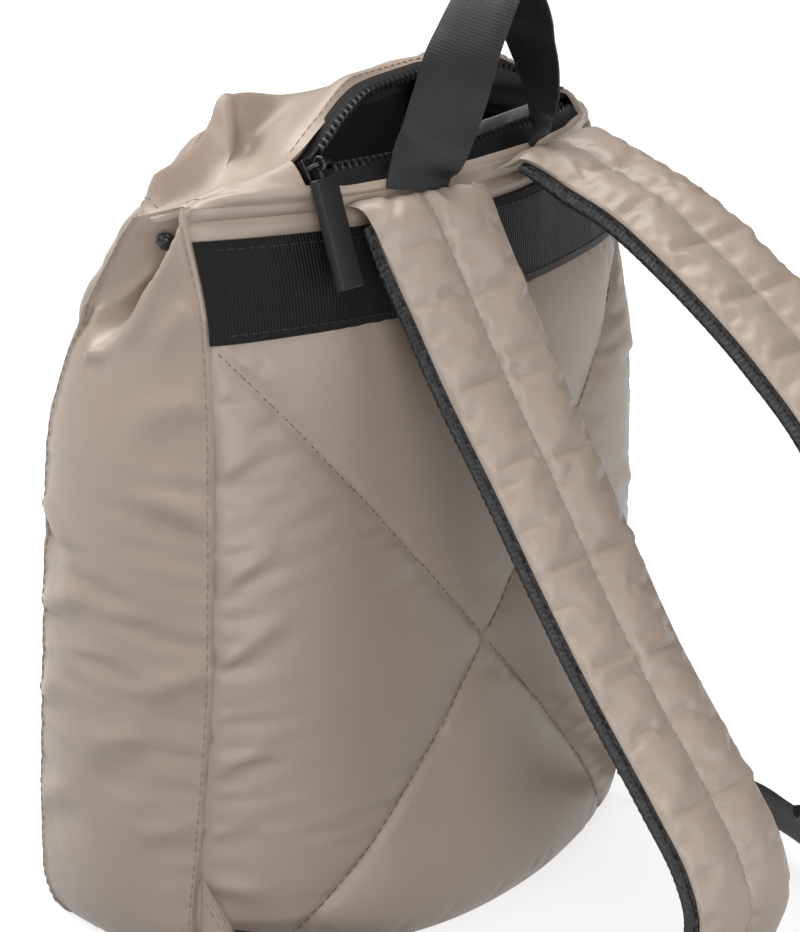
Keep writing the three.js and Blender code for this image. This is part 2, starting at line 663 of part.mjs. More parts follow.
function handleGeometry() {
  const widthAt = (row) => {
    const turn = THREE.MathUtils.degToRad(rowValue(HANDLE_PATH, row, "turn"));
    return vec(Math.cos(turn), Math.sin(turn), 0);
  };
  return ribbonGeometry(pathFrames(HANDLE_PATH, widthAt, 45), HANDLE_WIDTH, HANDLE_THICKNESS);
}

function strapFrames(rows, count) {
  const widthAt = (row) => {
    const turn = THREE.MathUtils.degToRad(rowValue(rows, row, "turn"));
    return vec(-Math.cos(turn), -Math.sin(turn), 0);
  };
  return pathFrames(rows, widthAt, count);
}

function padGeometry(rows) {
  const half = STRAP_WIDTH / 2;
  return loftGeometry(strapFrames(rows, 26).map((frame) => {
    const pad = rowValue(rows, frame.row, "pad");
    return PAD_SECTION.map((spot) => framePoint(frame, spot.across * half, spot.depth * pad));
  }));
}

function meshGeometry(rows) {
  const half = MESH_WIDTH / 2;
  const frames = strapFrames(rows, 26).slice(4, -3);
  return loftGeometry(frames.map((frame) => {
    const top = rowValue(rows, frame.row, "pad") + GAP;
    const low = top + MESH_THICKNESS;
    return [[half, top], [-half, top], [-half, low], [half, low]].map(([a, d]) => framePoint(frame, a, d));
  }));
}

function webbingFrames(rows, side) {
  const widthAt = (row, along) => {
    const lean = THREE.MathUtils.degToRad(rowValue(rows, row, "lean"));
    const level = vec(along.y, -along.x, 0).normalize().multiplyScalar(side);
    return vec(0, 0, Math.cos(lean)).addScaledVector(level, Math.sin(lean));
  };
  return pathFrames(rows, widthAt, 24);
}

// Middle and directions of the slide at the end of a strap
function slideFrame(rows) {
  const frames = strapFrames(rows, 26);
  const end = frames[frames.length - 1];
  const pad = rowValue(rows, end.row, "pad");
  const middle = framePoint(end, 0, pad / 2).addScaledVector(end.along, ADJUSTER_LENGTH / 2 + GAP);
  const face = vec(0, 0, 0).crossVectors(end.width, end.along);
  return { middle, width: end.width, along: end.along, face };
}

// Narrow webbing from the corner tab to the end bar of the slide
function webbingGeometry(rows, strap, side) {
  const { middle, along, face } = slideFrame(strap);
  const last = WEBBING_END.map(({ ahead, below, lean }) => {
    const { x, y, z } = middle.clone().addScaledVector(along, ahead).addScaledVector(face, -below);
    return { x, y, z, lean };
  });
  return ribbonGeometry(webbingFrames([...rows, ...last], side), WEBBING_WIDTH, WEBBING_THICKNESS);
}

// Position-only solid for a boolean
function toManifold(geometry) {
  const merged = new Map();
  const vertices = [];
  const position = geometry.getAttribute("position");
  const order = geometry.index ? [...geometry.index.array] : [...Array(position.count).keys()];
  const triangles = order.map((n) => {
    const p = [position.getX(n), position.getY(n), position.getZ(n)];
    const key = p.map((value) => Math.round(value * MERGE_SCALE) + 0).join(" ");
    if (!merged.has(key)) {
      merged.set(key, vertices.length / 3);
      vertices.push(...p);
    }
    return merged.get(key);
  });
  const kept = [];
  for (let n = 0; n < triangles.length; n += 3) {
    const [a, b, c] = triangles.slice(n, n + 3);
    if (a !== b && b !== c && a !== c) kept.push(a, b, c);
  }
  const mesh = new wasm.Mesh({
    numProp: 3, vertProperties: new Float32Array(vertices), triVerts: new Uint32Array(kept),
  });
  return new wasm.Manifold(mesh);
}

function fromManifold(solid) {
  const mesh = solid.getMesh();
  const geometry = new THREE.BufferGeometry();
  geometry.setAttribute("position", new THREE.Float32BufferAttribute(mesh.vertProperties, 3));
  geometry.setIndex([...mesh.triVerts]);
  geometry.computeVertexNormals();
  return geometry;
}

// One body from several overlapping ones
const fuse = (geometries) => fromManifold(geometries.map(toManifold).reduce((sum, next) => sum.add(next)));

// Turns a geometry so that its axes follow the given directions, and sets it in place
function placed(geometry, x, y, z, place) {
  return geometry.applyMatrix4(new THREE.Matrix4().makeBasis(x, y, z).setPosition(place));
}

// Zip tape with its row of teeth, from the panel's edge to the mouth: sections alternate
// between the tip of a tooth and the root beside it
function zipGeometry(edge) {
  const at = (across, column) => between(TEETH, "across", across, `${edge}${column}`);
  const half = wallAt(1, "left");
  const sewn = edge === "rear" ? REAR_ZIP_STEP : REAR_ZIP_STEP + 1;
  const length = (TEETH_RIGHT_END - TEETH_LEFT_END) * half;
  const count = 2 * Math.round(length / TOOTH_PITCH);
  const sections = [];
  for (let n = 0; n <= count; n += 1) {
    const u = TEETH_LEFT_END + ((TEETH_RIGHT_END - TEETH_LEFT_END) * n) / count;
    const seam = topPoint(u, sewn).setX(u * half);
    const teeth = vec(u * half, at(Math.abs(u), "Y"), at(Math.abs(u), "Z"));
    const across = teeth.clone().sub(seam).normalize();
    const lift = vec(1, 0, 0).cross(across).normalize();
    const reach = n % 2 === 0 ? -TOOTH_ROOT / 2 : TOOTH_REACH;
    const spot = (start, along, up) => start.clone().addScaledVector(across, along).addScaledVector(lift, up);
    const rise = TOOTH_THICKNESS / 2;
    sections.push([
      spot(seam, 2 * GAP, TAPE_THICKNESS / 2), spot(teeth, -TOOTH_ROOT, rise), spot(teeth, reach, rise),
      spot(teeth, reach, -rise), spot(teeth, -TOOTH_ROOT, -rise), spot(seam, 2 * GAP, -TAPE_THICKNESS / 2),
    ]);
  }
  return loftGeometry(sections);
}

// Slider frame: x along the zip, z out of the zip towards the rear
const tilt = THREE.MathUtils.degToRad(SLIDER_TILT);
const sliderOut = vec(0, -Math.sin(tilt), Math.cos(tilt));
const sliderAcross = vec(0, Math.cos(tilt), Math.sin(tilt));
const sliderPlace = vec(SLIDER.x, SLIDER.y, SLIDER.z);
const pivot = sliderPlace.clone().addScaledVector(sliderOut, BRIDGE_HEIGHT).add(vec(RING_SHIFT, 0, 0));

function sliderGeometry() {
  const body = new THREE.BoxGeometry(SLIDER_LENGTH, SLIDER_WIDTH, SLIDER_THICKNESS);
  const foot = SLIDER_THICKNESS / 2 - 0.5;
  const reach = BRIDGE_SPAN / 2;
  const bridgePath = new THREE.CatmullRomCurve3([
    vec(-reach, 0, foot),
    vec(-reach, 0, BRIDGE_HEIGHT - 2),
    vec(-reach + 1.4, 0, BRIDGE_HEIGHT),
    vec(reach - 1.4, 0, BRIDGE_HEIGHT),
    vec(reach, 0, BRIDGE_HEIGHT - 2),
    vec(reach, 0, foot),
  ]);
  const wire = new THREE.Shape();
  wire.absarc(0, 0, BRIDGE_RADIUS, 0, 2 * Math.PI);
  const bridge = new THREE.ExtrudeGeometry(wire, { steps: 14, curveSegments: 4, extrudePath: bridgePath });
  return placed(fuse([body, bridge]), vec(1, 0, 0), sliderAcross, sliderOut, sliderPlace);
}

function pullerGeometry() {
  const hang = THREE.MathUtils.degToRad(PULLER_HANG);
  const down = vec(0, -Math.sin(hang), -Math.cos(hang));
  const side = vec(1, 0, 0);
  const face = side.clone().cross(down);
  const ring = new THREE.TorusGeometry(RING_RADIUS, RING_WIRE, 6, 12).rotateY(Math.PI / 2);
  const half = PULLER_WIDTH / 2 - PULLER_BEVEL;
  const outline = new THREE.Shape();
  outline.moveTo(-half, PULLER_START + PULLER_BEVEL);
  outline.lineTo(half, PULLER_START + PULLER_BEVEL);
  outline.lineTo(half, PULLER_START + PULLER_LENGTH - PULLER_BEVEL);
  outline.lineTo(-half, PULLER_START + PULLER_LENGTH - PULLER_BEVEL);
  outline.closePath();
  const depth = PULLER_THICKNESS - 2 * PULLER_BEVEL;
  const bar = new THREE.ExtrudeGeometry(outline, {
    depth, bevelEnabled: true, bevelThickness: PULLER_BEVEL, bevelSize: PULLER_BEVEL,
    bevelSegments: 1, steps: 1,
  }).translate(0, 0, -depth / 2);
  const neckLength = PULLER_START - RING_RADIUS + 1;
  const neck = new THREE.BoxGeometry(2.4, neckLength, 1.7).translate(0, RING_RADIUS + neckLength / 2, 0);
  return placed(fuse([ring, neck, bar]), side, down, face, pivot);
}

// Corner tab that holds the narrow webbing at a lower rear corner
function tabGeometry(side) {
  const out = vec(-side * TAB_DIRECTION.x, TAB_DIRECTION.y, 0);
  const across = vec(-out.y, out.x, 0);
  const outline = [
    { z: TAB_SEAM_LOW, seam: TAB_SEAM_LOW, along: 0, thickness: TAB_SEAM_THICKNESS },
    { z: TAB_TIP_LOW, seam: TAB_MIDDLE, along: TAB_LENGTH, thickness: TAB_THICKNESS },
    { z: TAB_TIP_HIGH, seam: TAB_MIDDLE, along: TAB_LENGTH, thickness: TAB_THICKNESS },
    { z: TAB_SEAM_HIGH, seam: TAB_SEAM_HIGH, along: 0, thickness: TAB_SEAM_THICKNESS },
  ];
  const spot = (row, face) => backPoint(side, row.seam / REAR_SEAM_HEIGHT)
    .addScaledVector(out, TAB_CLEARANCE + row.along)
    .addScaledVector(across, (face * row.thickness) / 2)
    .setZ(row.z);
  return loftGeometry([-1, 1].map((face) => outline.map((row) => spot(row, face))));
}

// Slide that joins the webbing to the end of a strap
function adjusterGeometry(rows) {
  const { middle, width, along, face } = slideFrame(rows);
  const plate = new THREE.BoxGeometry(ADJUSTER_WIDTH, ADJUSTER_LENGTH, ADJUSTER_THICKNESS);
  const slotWidth = ADJUSTER_WIDTH - 2 * ADJUSTER_BAR;
  const slot = () => new THREE.BoxGeometry(slotWidth, ADJUSTER_SLOT, 2 * ADJUSTER_THICKNESS);
  const shift = (ADJUSTER_SLOT + ADJUSTER_BAR) / 2;
  const cut = toManifold(plate)
    .subtract(toManifold(slot().translate(0, shift, 0)))
    .subtract(toManifold(slot().translate(0, -shift, 0)));
  return placed(fromManifold(cut), width, along, face, middle);
}

// Domed cap set in a side fold
function snapGeometry(side) {
  const place = sidePoint(side, SNAP_PLACE, SNAP_LEVEL);
  const near = (t, level) => sidePoint(side, SNAP_PLACE + t, SNAP_LEVEL + level);
  const alongT = near(0.05, 0).sub(near(-0.05, 0));
  const alongZ = near(0, 0.02).sub(near(0, -0.02));
  const out = alongT.clone().cross(alongZ).normalize().multiplyScalar(side);
  const first = alongT.normalize();
  const second = out.clone().cross(first);
  const profile = [
    [0, 0], [SNAP_RADIUS, 0], [SNAP_RADIUS, 0.4 * SNAP_HEIGHT],
    [0.7 * SNAP_RADIUS, SNAP_HEIGHT], [0, SNAP_HEIGHT],
  ].map(([r, h]) => new THREE.Vector2(r, h));
  const cap = new THREE.LatheGeometry(profile, 14);
  return placed(cap, second, out, first, place.addScaledVector(out, SNAP_CLEARANCE));
}

const looks = {
  taupe: { color: 0xa89a8b, roughness: 0.55, metalness: 0 },
  strap: { color: 0x9c8f82, roughness: 0.55, metalness: 0 },
  black: { color: 0x17171a, roughness: 0.6, metalness: 0 },
  lining: { color: 0x2a2220, roughness: 0.8, metalness: 0 },
  mesh: { color: 0x1d1d20, roughness: 0.85, metalness: 0 },
  rubber: { color: 0x1a1a1c, roughness: 0.5, metalness: 0 },
  metal: { color: 0x3a3a3d, roughness: 0.3, metalness: 0.9 },
};

const group = new THREE.Group();
function addPart(name, geometry, look) {
  const mesh = new THREE.Mesh(geometry, new THREE.MeshStandardMaterial(looks[look]));
  mesh.name = name;
  group.add(mesh);
}

for (const [name, panel] of Object.entries(panels)) addPart(name, panelGeometry(panel), "taupe");
addPart("base_panel", baseGeometry(), "taupe");
addPart("lining", liningGeometry(), "lining");
addPart("back_band", bandGeometry(), "black");
addPart("zip_rear", zipGeometry("rear"), "black");
addPart("zip_front", zipGeometry("front"), "black");
addPart("zip_slider", sliderGeometry(), "metal");
addPart("zip_puller", pullerGeometry(), "rubber");
addPart("handle", handleGeometry(), "black");
for (const [name, side, strap, webbing] of [
  ["left", -1, LEFT_STRAP, LEFT_WEBBING],
  ["right", 1, RIGHT_STRAP, RIGHT_WEBBING],
]) {
  addPart(`strap_pad_${name}`, padGeometry(strap), "strap");
  addPart(`strap_mesh_${name}`, meshGeometry(strap), "mesh");
  addPart(`strap_webbing_${name}`, webbingGeometry(webbing, strap, side), "black");
  addPart(`strap_adjuster_${name}`, adjusterGeometry(strap), "black");
  addPart(`corner_tab_${name}`, tabGeometry(side), "taupe");
  addPart(`side_snap_${name}`, snapGeometry(side), "metal");
}

export default group;
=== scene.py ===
import math

import bmesh
import bpy
import numpy as np
from mathutils import Matrix, Vector


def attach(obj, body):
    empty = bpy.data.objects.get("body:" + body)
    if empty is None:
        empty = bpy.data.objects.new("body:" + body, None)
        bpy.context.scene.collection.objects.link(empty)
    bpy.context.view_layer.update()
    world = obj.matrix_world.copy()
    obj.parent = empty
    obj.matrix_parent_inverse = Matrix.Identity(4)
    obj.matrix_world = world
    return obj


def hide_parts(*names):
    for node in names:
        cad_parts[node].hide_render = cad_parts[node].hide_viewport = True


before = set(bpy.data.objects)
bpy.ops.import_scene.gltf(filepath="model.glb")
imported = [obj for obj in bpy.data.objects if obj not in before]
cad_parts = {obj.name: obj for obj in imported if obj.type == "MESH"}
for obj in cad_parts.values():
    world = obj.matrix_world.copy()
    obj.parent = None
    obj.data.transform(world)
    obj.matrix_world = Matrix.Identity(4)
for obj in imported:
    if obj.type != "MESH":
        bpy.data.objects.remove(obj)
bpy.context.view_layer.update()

# Mini backpack. Shapes are worked out in millimetres in the frame of the solids and stored in metres.
MM = 0.001
BAG = "bag"
PULLER = "puller"

# Camera at the photograph's place, in metres
CAMERA_PLACE = (-0.9352, -0.8143, 0.5563)
CAMERA_LOOK = (0.729, 0.612, -0.307)
CAMERA_LENS = 136.8
SENSOR_WIDTH = 36
CLIP_END = 50


def aimed(name, data, place, direction):
    """A camera or light at a place, looking along a direction."""
    piece = bpy.data.objects.new(name, data)
    piece.location = place
    piece.rotation_mode = "QUATERNION"
    piece.rotation_quaternion = Vector(direction).to_track_quat("-Z", "Y")
    bpy.context.scene.collection.objects.link(piece)
    return piece


def make_camera():
    data = bpy.data.cameras.new("camera")
    data.lens = CAMERA_LENS
    data.sensor_width = SENSOR_WIDTH
    data.clip_end = CLIP_END
    bpy.context.scene.camera = aimed("camera", data, CAMERA_PLACE, CAMERA_LOOK)


make_camera()


# Tables: rows of numbers under named columns, the first of which places the row
def between(places, values, at):
    """Values between the rows, on curves that don't overshoot."""
    steps = np.diff(values) / np.diff(places)
    product = steps[:-1] * steps[1:]
    total = steps[:-1] + steps[1:]
    inner = np.where(product > 0, 2 * product / np.where(total == 0, 1, total), 0)
    slopes = np.concatenate([steps[:1], inner, steps[-1:]])
    at = np.asarray(at, float)
    i = np.clip(np.searchsorted(places, at) - 1, 0, len(places) - 2)
    width = places[i + 1] - places[i]
    t = np.clip((at - places[i]) / width, 0, 1)
    bend = t * t * (3 - 2 * t)
    lead = t * (1 - t) ** 2 * slopes[i] * width
    trail = t * t * (1 - t) * slopes[i + 1] * width
    return values[i] + (values[i + 1] - values[i]) * bend + lead - trail


class Table:
    def __init__(self, columns, rows):
        self.names = columns.split()
        self.rows = np.array(rows, float)

    def column(self, name):
        return self.rows[:, self.names.index(name)]

    def at(self, place, name):
        return between(self.column(self.names[0]), self.column(name), place)

    def row_value(self, row, name):
        return np.interp(row, np.arange(len(self.rows)), self.column(name))


# Outline of the walls at each level, as a fraction of the wall height: half widths left and right,
# y of the rear corners, of the back's centre, of the front corners and of the front's centre,
# and the bulge of the side walls
LEVELS = Table("level left leftY right rightY back front mid out", [
    (0.0, 104, -24, 113, -40, -69, 46, 60, 3),
    (0.025, 108, -26, 116, -42, -74, 49, 66, 5),
    (0.08, 110.5, -28, 118, -43, -75, 51, 69, 7),
    (0.2, 111, -33, 119, -44, -72, 50, 72, 9),
    (0.45, 111.5, -40, 120, -44, -68, 45.5, 70, 10),
    (0.67, 111, -41, 119, -44, -67, 42, 61, 9),
    (0.85, 109, -38, 111, -42, -67, 27, 40, 7),
    (0.96, 108, -30, 107, -34, -67, 9.5, 21, 4),
    (1.0, 108, -26.5, 106, -31, -66, 1, 11, 0),
])
REAR_SEAM_HEIGHT = 278
FRONT_CORNER_HEIGHT = 270
FRONT_INSET = 3

# Inward fold of each side wall: where it starts from rear to front, and its depth
SIDE_FOLD = Table("level start depth", [
    (0.815, 0.63, 0),
    (0.832, 0.61, 4),
    (0.85, 0.57, 10),
    (0.875, 0.5, 13.5),
    (0.906, 0.42, 16),
    (0.932, 0.31, 17.5),
    (0.957, 0.21, 15.5),
    (0.98, 0.1, 9.5),
    (1.0, 0.02, 4),
])
FOLD_STEEP = 0.12
FOLD_PUFF = 0.14
PUFF_BEFORE = 0.08
PUFF_WIDTH = 0.1

# Height of the front wall's upper edge from the middle to the corner
FRONT_EDGE = Table("across height", [
    (0.0, 288), (0.3, 289), (0.55, 291), (0.7, 282.5), (0.85, 275.5), (1.0, FRONT_CORNER_HEIGHT),
])

# Top panel from the middle to the side: lip, rear zip edge, front zip edge, fold, dip and ridge
TOP = Table("across lipY lipZ rearY rearZ frontY frontZ foldY foldZ dipY dipZ ridgeY ridgeZ", [
    (0.0, -65.5, 279.3, -63, 280.8, -37, 310.8, -32, 312.3, -13, 306, -1, 298.5),
    (0.3, -63.5, 279.3, -61, 280.8, -39, 309.2, -35, 312.5, -10.5, 298.5, -1, 300.4),
    (0.55, -57, 279.3, -55.5, 281, -42.8, 298.2, -37.5, 300.2, -9.5, 288, -1, 302.8),
    (0.62, -54.5, 279.8, -53, 282, -43.7, 294.3, -37.5, 295, -10.5, 283, -1, 295.2),
    (0.7, -51.5, 281.5, -51.3, 283.6, -44.9, 291.2, -38, 289.3, -15, 278, -1, 288.8),
    (0.8, -45.5, 283, -43.5, 285.5, -40, 287, -33, 284.5, -13, 275.5, -1.5, 284.5),
    (0.9, -37.5, 282, -35.5, 283.5, -31.5, 283.5, -25.5, 280.5, -10, 274, -1.5, 281.8),
])
TOP_STEPS = np.array([0, 1, 2, 3, 4, 6, 8, 10], float)
TOP_MIDDLE = np.array([0, -30, 240.0])
SIDE_COLUMNS = np.array([0, 0.1, 0.2, 0.32, 0.44, 0.56, 0.68, 0.76, 0.84, 0.92, 1])
ZIP_END = 0.7
REAR_ZIP_STEP = 2.0
FRONT_ZIP_STEP = 3.0
LIP_START = 269
LIP_RUN = 8
LIP_LEAN = 0.8
LIP_SIDE_FADE = 0.1

# Lines of the zip teeth from the middle of the mouth to its ends
TEETH = Table("across rearY rearZ frontY frontZ", [
    (0.0, -59.5, 286, -40.8, 309.8),
    (0.3, -57, 287.3, -43.3, 307.8),
    (0.55, -52.5, 287.5, -46.3, 296.6),
    (0.7, -49, 288, -47.3, 290),
])
TEETH_LEFT_END = -0.575
TEETH_RIGHT_END = 0.58
TAPE_END = 0.685
TAPE_SINK = 3.2
TAPE_BEND = -0.47
TAPE_BEND_RUN = 0.14
TOOTH_PITCH = 2.8

# Quilting of the back panel
QUILT_CROSSING = 106
QUILT_SLOPE = 127
QUILT_PUFF = 2
QUILT_REACH = 30
QUILT_SIDE_FADE = 0.12
QUILT_BASE_FADE = 20
QUILT_BAND_FADE = 15

# Webbing
BAND_LOW = 233
BAND_HIGH = 267
BAND_THICKNESS = 1.6
BAND_REACH = 1.0
HANDLE_WIDTH = 25
HANDLE_THICKNESS = 2.2
WEBBING_WIDTH = 20
WEBBING_THICKNESS = 1.8

# Handle loop: centre line and the turn of its width from the x axis, in degrees
HANDLE = Table("x y z turn", [
    (-35.4, -66.6, 277.5, -16),
    (-34.8, -66.9, 282, -20),
    (-33.8, -68.4, 286.5, -30),
    (-31, -70.3, 293, -42),
    (-29, -73, 303, -50),
    (-26.8, -75, 312.3, -57),
    (-25.2, -77, 321.5, -66),
    (-21.6, -78, 329.2, -74),
    (-14.5, -79, 340.4, -82),
    (-8, -79, 346.5, -87),
    (-1.5, -78.5, 346.5, -90),
    (5, -77.3, 339, -93),
    (10.5, -76, 331, -95),
    (13.8, -75, 323.5, -97),
    (17.4, -74, 317.3, -101),
    (22.5, -72, 308.5, -109),
    (25.5, -71, 302.3, -114),
    (27.3, -71, 294, -121),
    (26, -72, 288.5, -134),
    (23, -71, 284.8, -150),
])

# Shoulder straps: centre line of the outer face, the padding under it and the turn of the width
LEFT_STRAP = Table("x y z pad turn", [
    (-33.8, -64, 275.2, 1.6, -16),
    (-35.3, -69, 276.8, 2.8, -15),
    (-35.8, -74.5, 272.8, 3.8, -14),
    (-35.5, -81, 262, 4.2, -13),
    (-34.5, -91, 244, 4.2, -11),
    (-34.5, -104.5, 221, 4.2, -9),
    (-34.5, -125, 190, 4.2, -6),
    (-35, -143, 162, 4.2, -3),
    (-36, -164, 132, 4.2, 0),
    (-36, -193, 94, 4.2, 0),
    (-36, -207, 74, 4.2, 0),
    (-36, -212.5, 56, 4.2, 0),
    (-36, -208.5, 39, 4, 0),
    (-38, -198, 23, 3.6, 0),
])
RIGHT_STRAP = Table("x y z pad turn", [
    (35, -66.5, 280, 1.6, 11),
    (35, -74, 283, 2.8, 10),
    (35, -84, 282, 4, 6),
    (35, -97, 277.5, 4.2, 3),
    (35, -118, 270, 4.2, 0),
    (35, -140, 257, 4.2, 0),
    (35, -159, 244, 4.2, 0),
    (35, -178, 229, 4.2, 0),
    (35, -200, 208, 4.2, 0),
    (35, -219, 180, 4.2, 0),
    (35, -229, 148, 4.2, 0),
    (36, -228, 117, 4, 0),
    (38, -218, 92, 4, 0),
    (41, -206, 76, 3.6, 0),
])
STRAP_WIDTH = 50
FULL_PAD = 4.2
SPACER_WIDTH = 53.5
SPACER_THICKNESS = 6.4

# Narrow webbing from the corner tab to the strap end, and the lean of its width from upright
LEFT_WEBBING = Table("x y z lean", [
    (-107.5, -44, 11.6, 0),
    (-103, -57, 11.4, 8),
    (-93, -79, 9.5, 30),
    (-79, -105, 6, 62),
    (-63, -132, 3, 84),
    (-49, -157, 2.5, 90),
    (-43, -171, 2.7, 94),
])
RIGHT_WEBBING = Table("x y z lean", [
    (115.5, -60, 11.6, 0),
    (117, -74, 13, 4),
    (116, -94, 15.5, 10),
    (110, -119, 18, 20),
    (93, -147, 22, 22),
    (68, -171, 35, 42),
    (50, -183, 53, 84),
])

# The webbing's way through the slots of its slide: along the slide and out of its face
SLIDE_LENGTH = 22.6
WEAVE = [
    (14.5, -4.4), (9, -3.2), (6.2, -2.9), (4, 0), (1.8, 2.9), (0, 3.1),
    (-1.8, 2.9), (-4, 0), (-6.2, -2.9), (-9, -3.2), (-10.6, -3.2),
]

# Corner tabs
TAB_DIRECTION = (0.1, -0.995)
TAB_THICKNESS = 2.6
TAB_SEAM_THICKNESS = 0.8
TAB_LENGTH = 13
TAB_CLEARANCE = 2.2
TAB_MIDDLE = 20
TAB = Table("corner z seam along", [
    (0, 9, 9, 0),
    (1, 2.5, TAB_MIDDLE, TAB_LENGTH),
    (2, 22, TAB_MIDDLE, TAB_LENGTH),
    (3, 38, 38, 0),
])

# Slider, its bridge, and the ring and bar that hang from it
SLIDER = np.array([-68.5, -48.8, 287.4])
SLIDER_TILT = math.radians(58)
SLIDER_OUT = np.array([0, -math.sin(SLIDER_TILT), math.cos(SLIDER_TILT)])
SLIDER_ACROSS = np.array([0, math.cos(SLIDER_TILT), math.sin(SLIDER_TILT)])
BRIDGE_HEIGHT = 6
RING_SHIFT = -2.5
PIVOT = SLIDER + BRIDGE_HEIGHT * SLIDER_OUT + (RING_SHIFT, 0, 0)
PULLER_HANG = math.radians(18)
PULLER_START = 4.8
PULLER_LENGTH = 38
PULLER_WIDTH = 10.5
PULLER_THICKNESS = 4

# Snap caps in the side folds
SNAP_PLACES = [0.45, 0.5, 0.55]
SNAP_LEVELS = [0.94, 0.96, 0.98]
SNAP_CLEARANCE = 0.5
SNAP_PROFILE = [
    (0.02, 2.6), (1.6, 2.6), (2.3, 2.35), (2.7, 1.8), (3.0, 1.1),
    (3.3, 0.95), (3.6, 0.6), (3.6, 0), (0.02, 0),
]

# Creases of the cloth: from and to, as a share of the width and a height, then width and rise
LEFT_CREASES = [
    (0.02, 119, 0.36, 103, 7, 1.9),
    (0.02, 172, 0.4, 184, 8, 1.6),
    (0.98, 168, 0.6, 148, 8, 2.2),
    (0.98, 128, 0.5, 142, 7, 2.0),
    (0.97, 50, 0.6, 64, 8, 1.8),
    (0.02, 60, 0.34, 51, 6, 1.3),
    (0.06, 214, 0.5, 204, 9, 1.6),
    (0.3, 90, 0.7, 78, 9, 1.4),
    (0.98, 92, 0.7, 104, 7, 1.5),
]
FOLD_CREASES = [
    (0.6, 256, 0.84, 239, 5, 2.4),
    (0.87, 243, 0.82, 226, 5, 2.2),
    (0.8, 226, 0.6, 229, 4, 1.6),
    (0.1, 246, 0.36, 226, 8, 1.5),
]
TOP_CREASES = [
    (-59, -1, -88, -31, 6, 3.6),
    (60, -1, 86, -30, 5.5, 3.0),
]
RIGHT_CREASES = [
    (0.02, 104, 0.4, 92, 7, 1.8),
    (0.02, 160, 0.42, 176, 8, 1.6),
    (0.98, 150, 0.55, 136, 8, 2.0),
    (0.98, 70, 0.6, 84, 8, 1.8),
    (0.05, 220, 0.5, 206, 9, 1.6),
]
BACK_CREASES = [
    (-0.99, 148, -0.8, 166, 4.5, 1.3),
    (-0.99, 121, -0.77, 138, 5, 1.5),
    (-0.99, 188, -0.84, 201, 4, 1.1),
    (-0.99, 80, -0.8, 92, 5, 1.3),
    (-0.99, 56, -0.84, 62, 4, 1.0),
    (-0.97, 36, -0.8, 30, 5, 1.2),
    (0.99, 130, 0.82, 144, 5, 1.2),
    (0.99, 84, 0.8, 94, 5, 1.3),
    (0.99, 184, 0.84, 196, 5, 1.1),
]


# Curves: a step, a smooth step and a rounded ridge with its crest at zero
def clamp01(value):
    return np.clip(value, 0, 1)


def smooth(value):
    value = clamp01(value)
    return value * value * (3 - 2 * value)


def hump(value):
    return np.exp(-value ** 2)


# Noise on a square lattice, from -1 to 1
LATTICE = 64


def noise(x, y, seed):
    values = np.random.RandomState(seed).uniform(-1, 1, (LATTICE, LATTICE))
    x, y = np.broadcast_arrays(np.asarray(x, float), np.asarray(y, float))
    ix = np.floor(x).astype(int)
    iy = np.floor(y).astype(int)
    fx = smooth(x - ix)
    fy = smooth(y - iy)

    def corner(i, j):
        return values[(ix + i) % LATTICE, (iy + j) % LATTICE]

    low = corner(0, 0) * (1 - fx) + corner(1, 0) * fx
    high = corner(0, 1) * (1 - fx) + corner(1, 1) * fx
    return low * (1 - fy) + high * fy


# Walls of the bag as grids of points, first along the width and then up
def half_at(u, level):
    return np.where(u < 0, LEVELS.at(level, "left"), LEVELS.at(level, "right"))


def quilt_lines(u, z):
    """Distances in height to the rising and the falling quilting line."""
    return np.abs(z - QUILT_CROSSING - QUILT_SLOPE * u), np.abs(z - QUILT_CROSSING + QUILT_SLOPE * u)


def quilt_puff(u, z):
    rising, falling = quilt_lines(u, z)
    away = clamp01(np.minimum(rising, falling) / QUILT_REACH)
    edge = clamp01((1 - np.abs(u)) / QUILT_SIDE_FADE) * clamp01(z / QUILT_BASE_FADE)
    edge = edge * clamp01((BAND_LOW - z) / QUILT_BAND_FADE)
    return QUILT_PUFF * edge * (1 - (1 - away) ** 2)


def back_points(us, levels):
    u, level = np.meshgrid(us, levels, indexing="ij")
    z = level * REAR_SEAM_HEIGHT
    rear = np.where(u < 0, LEVELS.at(level, "leftY"), LEVELS.at(level, "rightY"))
    middle = LEVELS.at(level, "back")
    y = middle + (rear - middle) * u * u - quilt_puff(u, z)
    lean = LIP_LEAN * smooth((z - LIP_START) / LIP_RUN) * clamp01((1 - np.abs(u)) / LIP_SIDE_FADE)
    y = y + lean * (TOP.at(np.abs(u), "lipY") - y)
    return np.stack([half_at(u, level) * u, y, z], axis=-1)


def front_points(us, levels):
    u, level = np.meshgrid(us, levels, indexing="ij")
    front = LEVELS.at(level, "front")
    sag = (LEVELS.at(level, "mid") - front) * (1 - u * u)
    height = FRONT_EDGE.at(np.abs(u), "height")
    return np.stack([(half_at(u, level) - FRONT_INSET) * u, front + sag, level * height], axis=-1)


def side_points(side, ts, levels):
    t, level = np.meshgrid(ts, levels, indexing="ij")
    rear = back_points([side], levels)
    front = front_points([side], levels)
    held = np.maximum(level, SIDE_FOLD.column("level")[0])
    start = SIDE_FOLD.at(held, "start")
    valley = np.minimum(smooth((t - start) / FOLD_STEEP), clamp01((1 - t) / (1 - start - FOLD_STEEP)))
    puff = FOLD_PUFF * hump((t - start + PUFF_BEFORE) / PUFF_WIDTH)
    fold = SIDE_FOLD.at(held, "depth") * (valley - puff * smooth(t / PUFF_WIDTH))
    out = 4 * t * (1 - t) * LEVELS.at(level, "out") - fold
    points = rear + (front - rear) * t[..., None]
    points[..., 0] += side * out
    return points


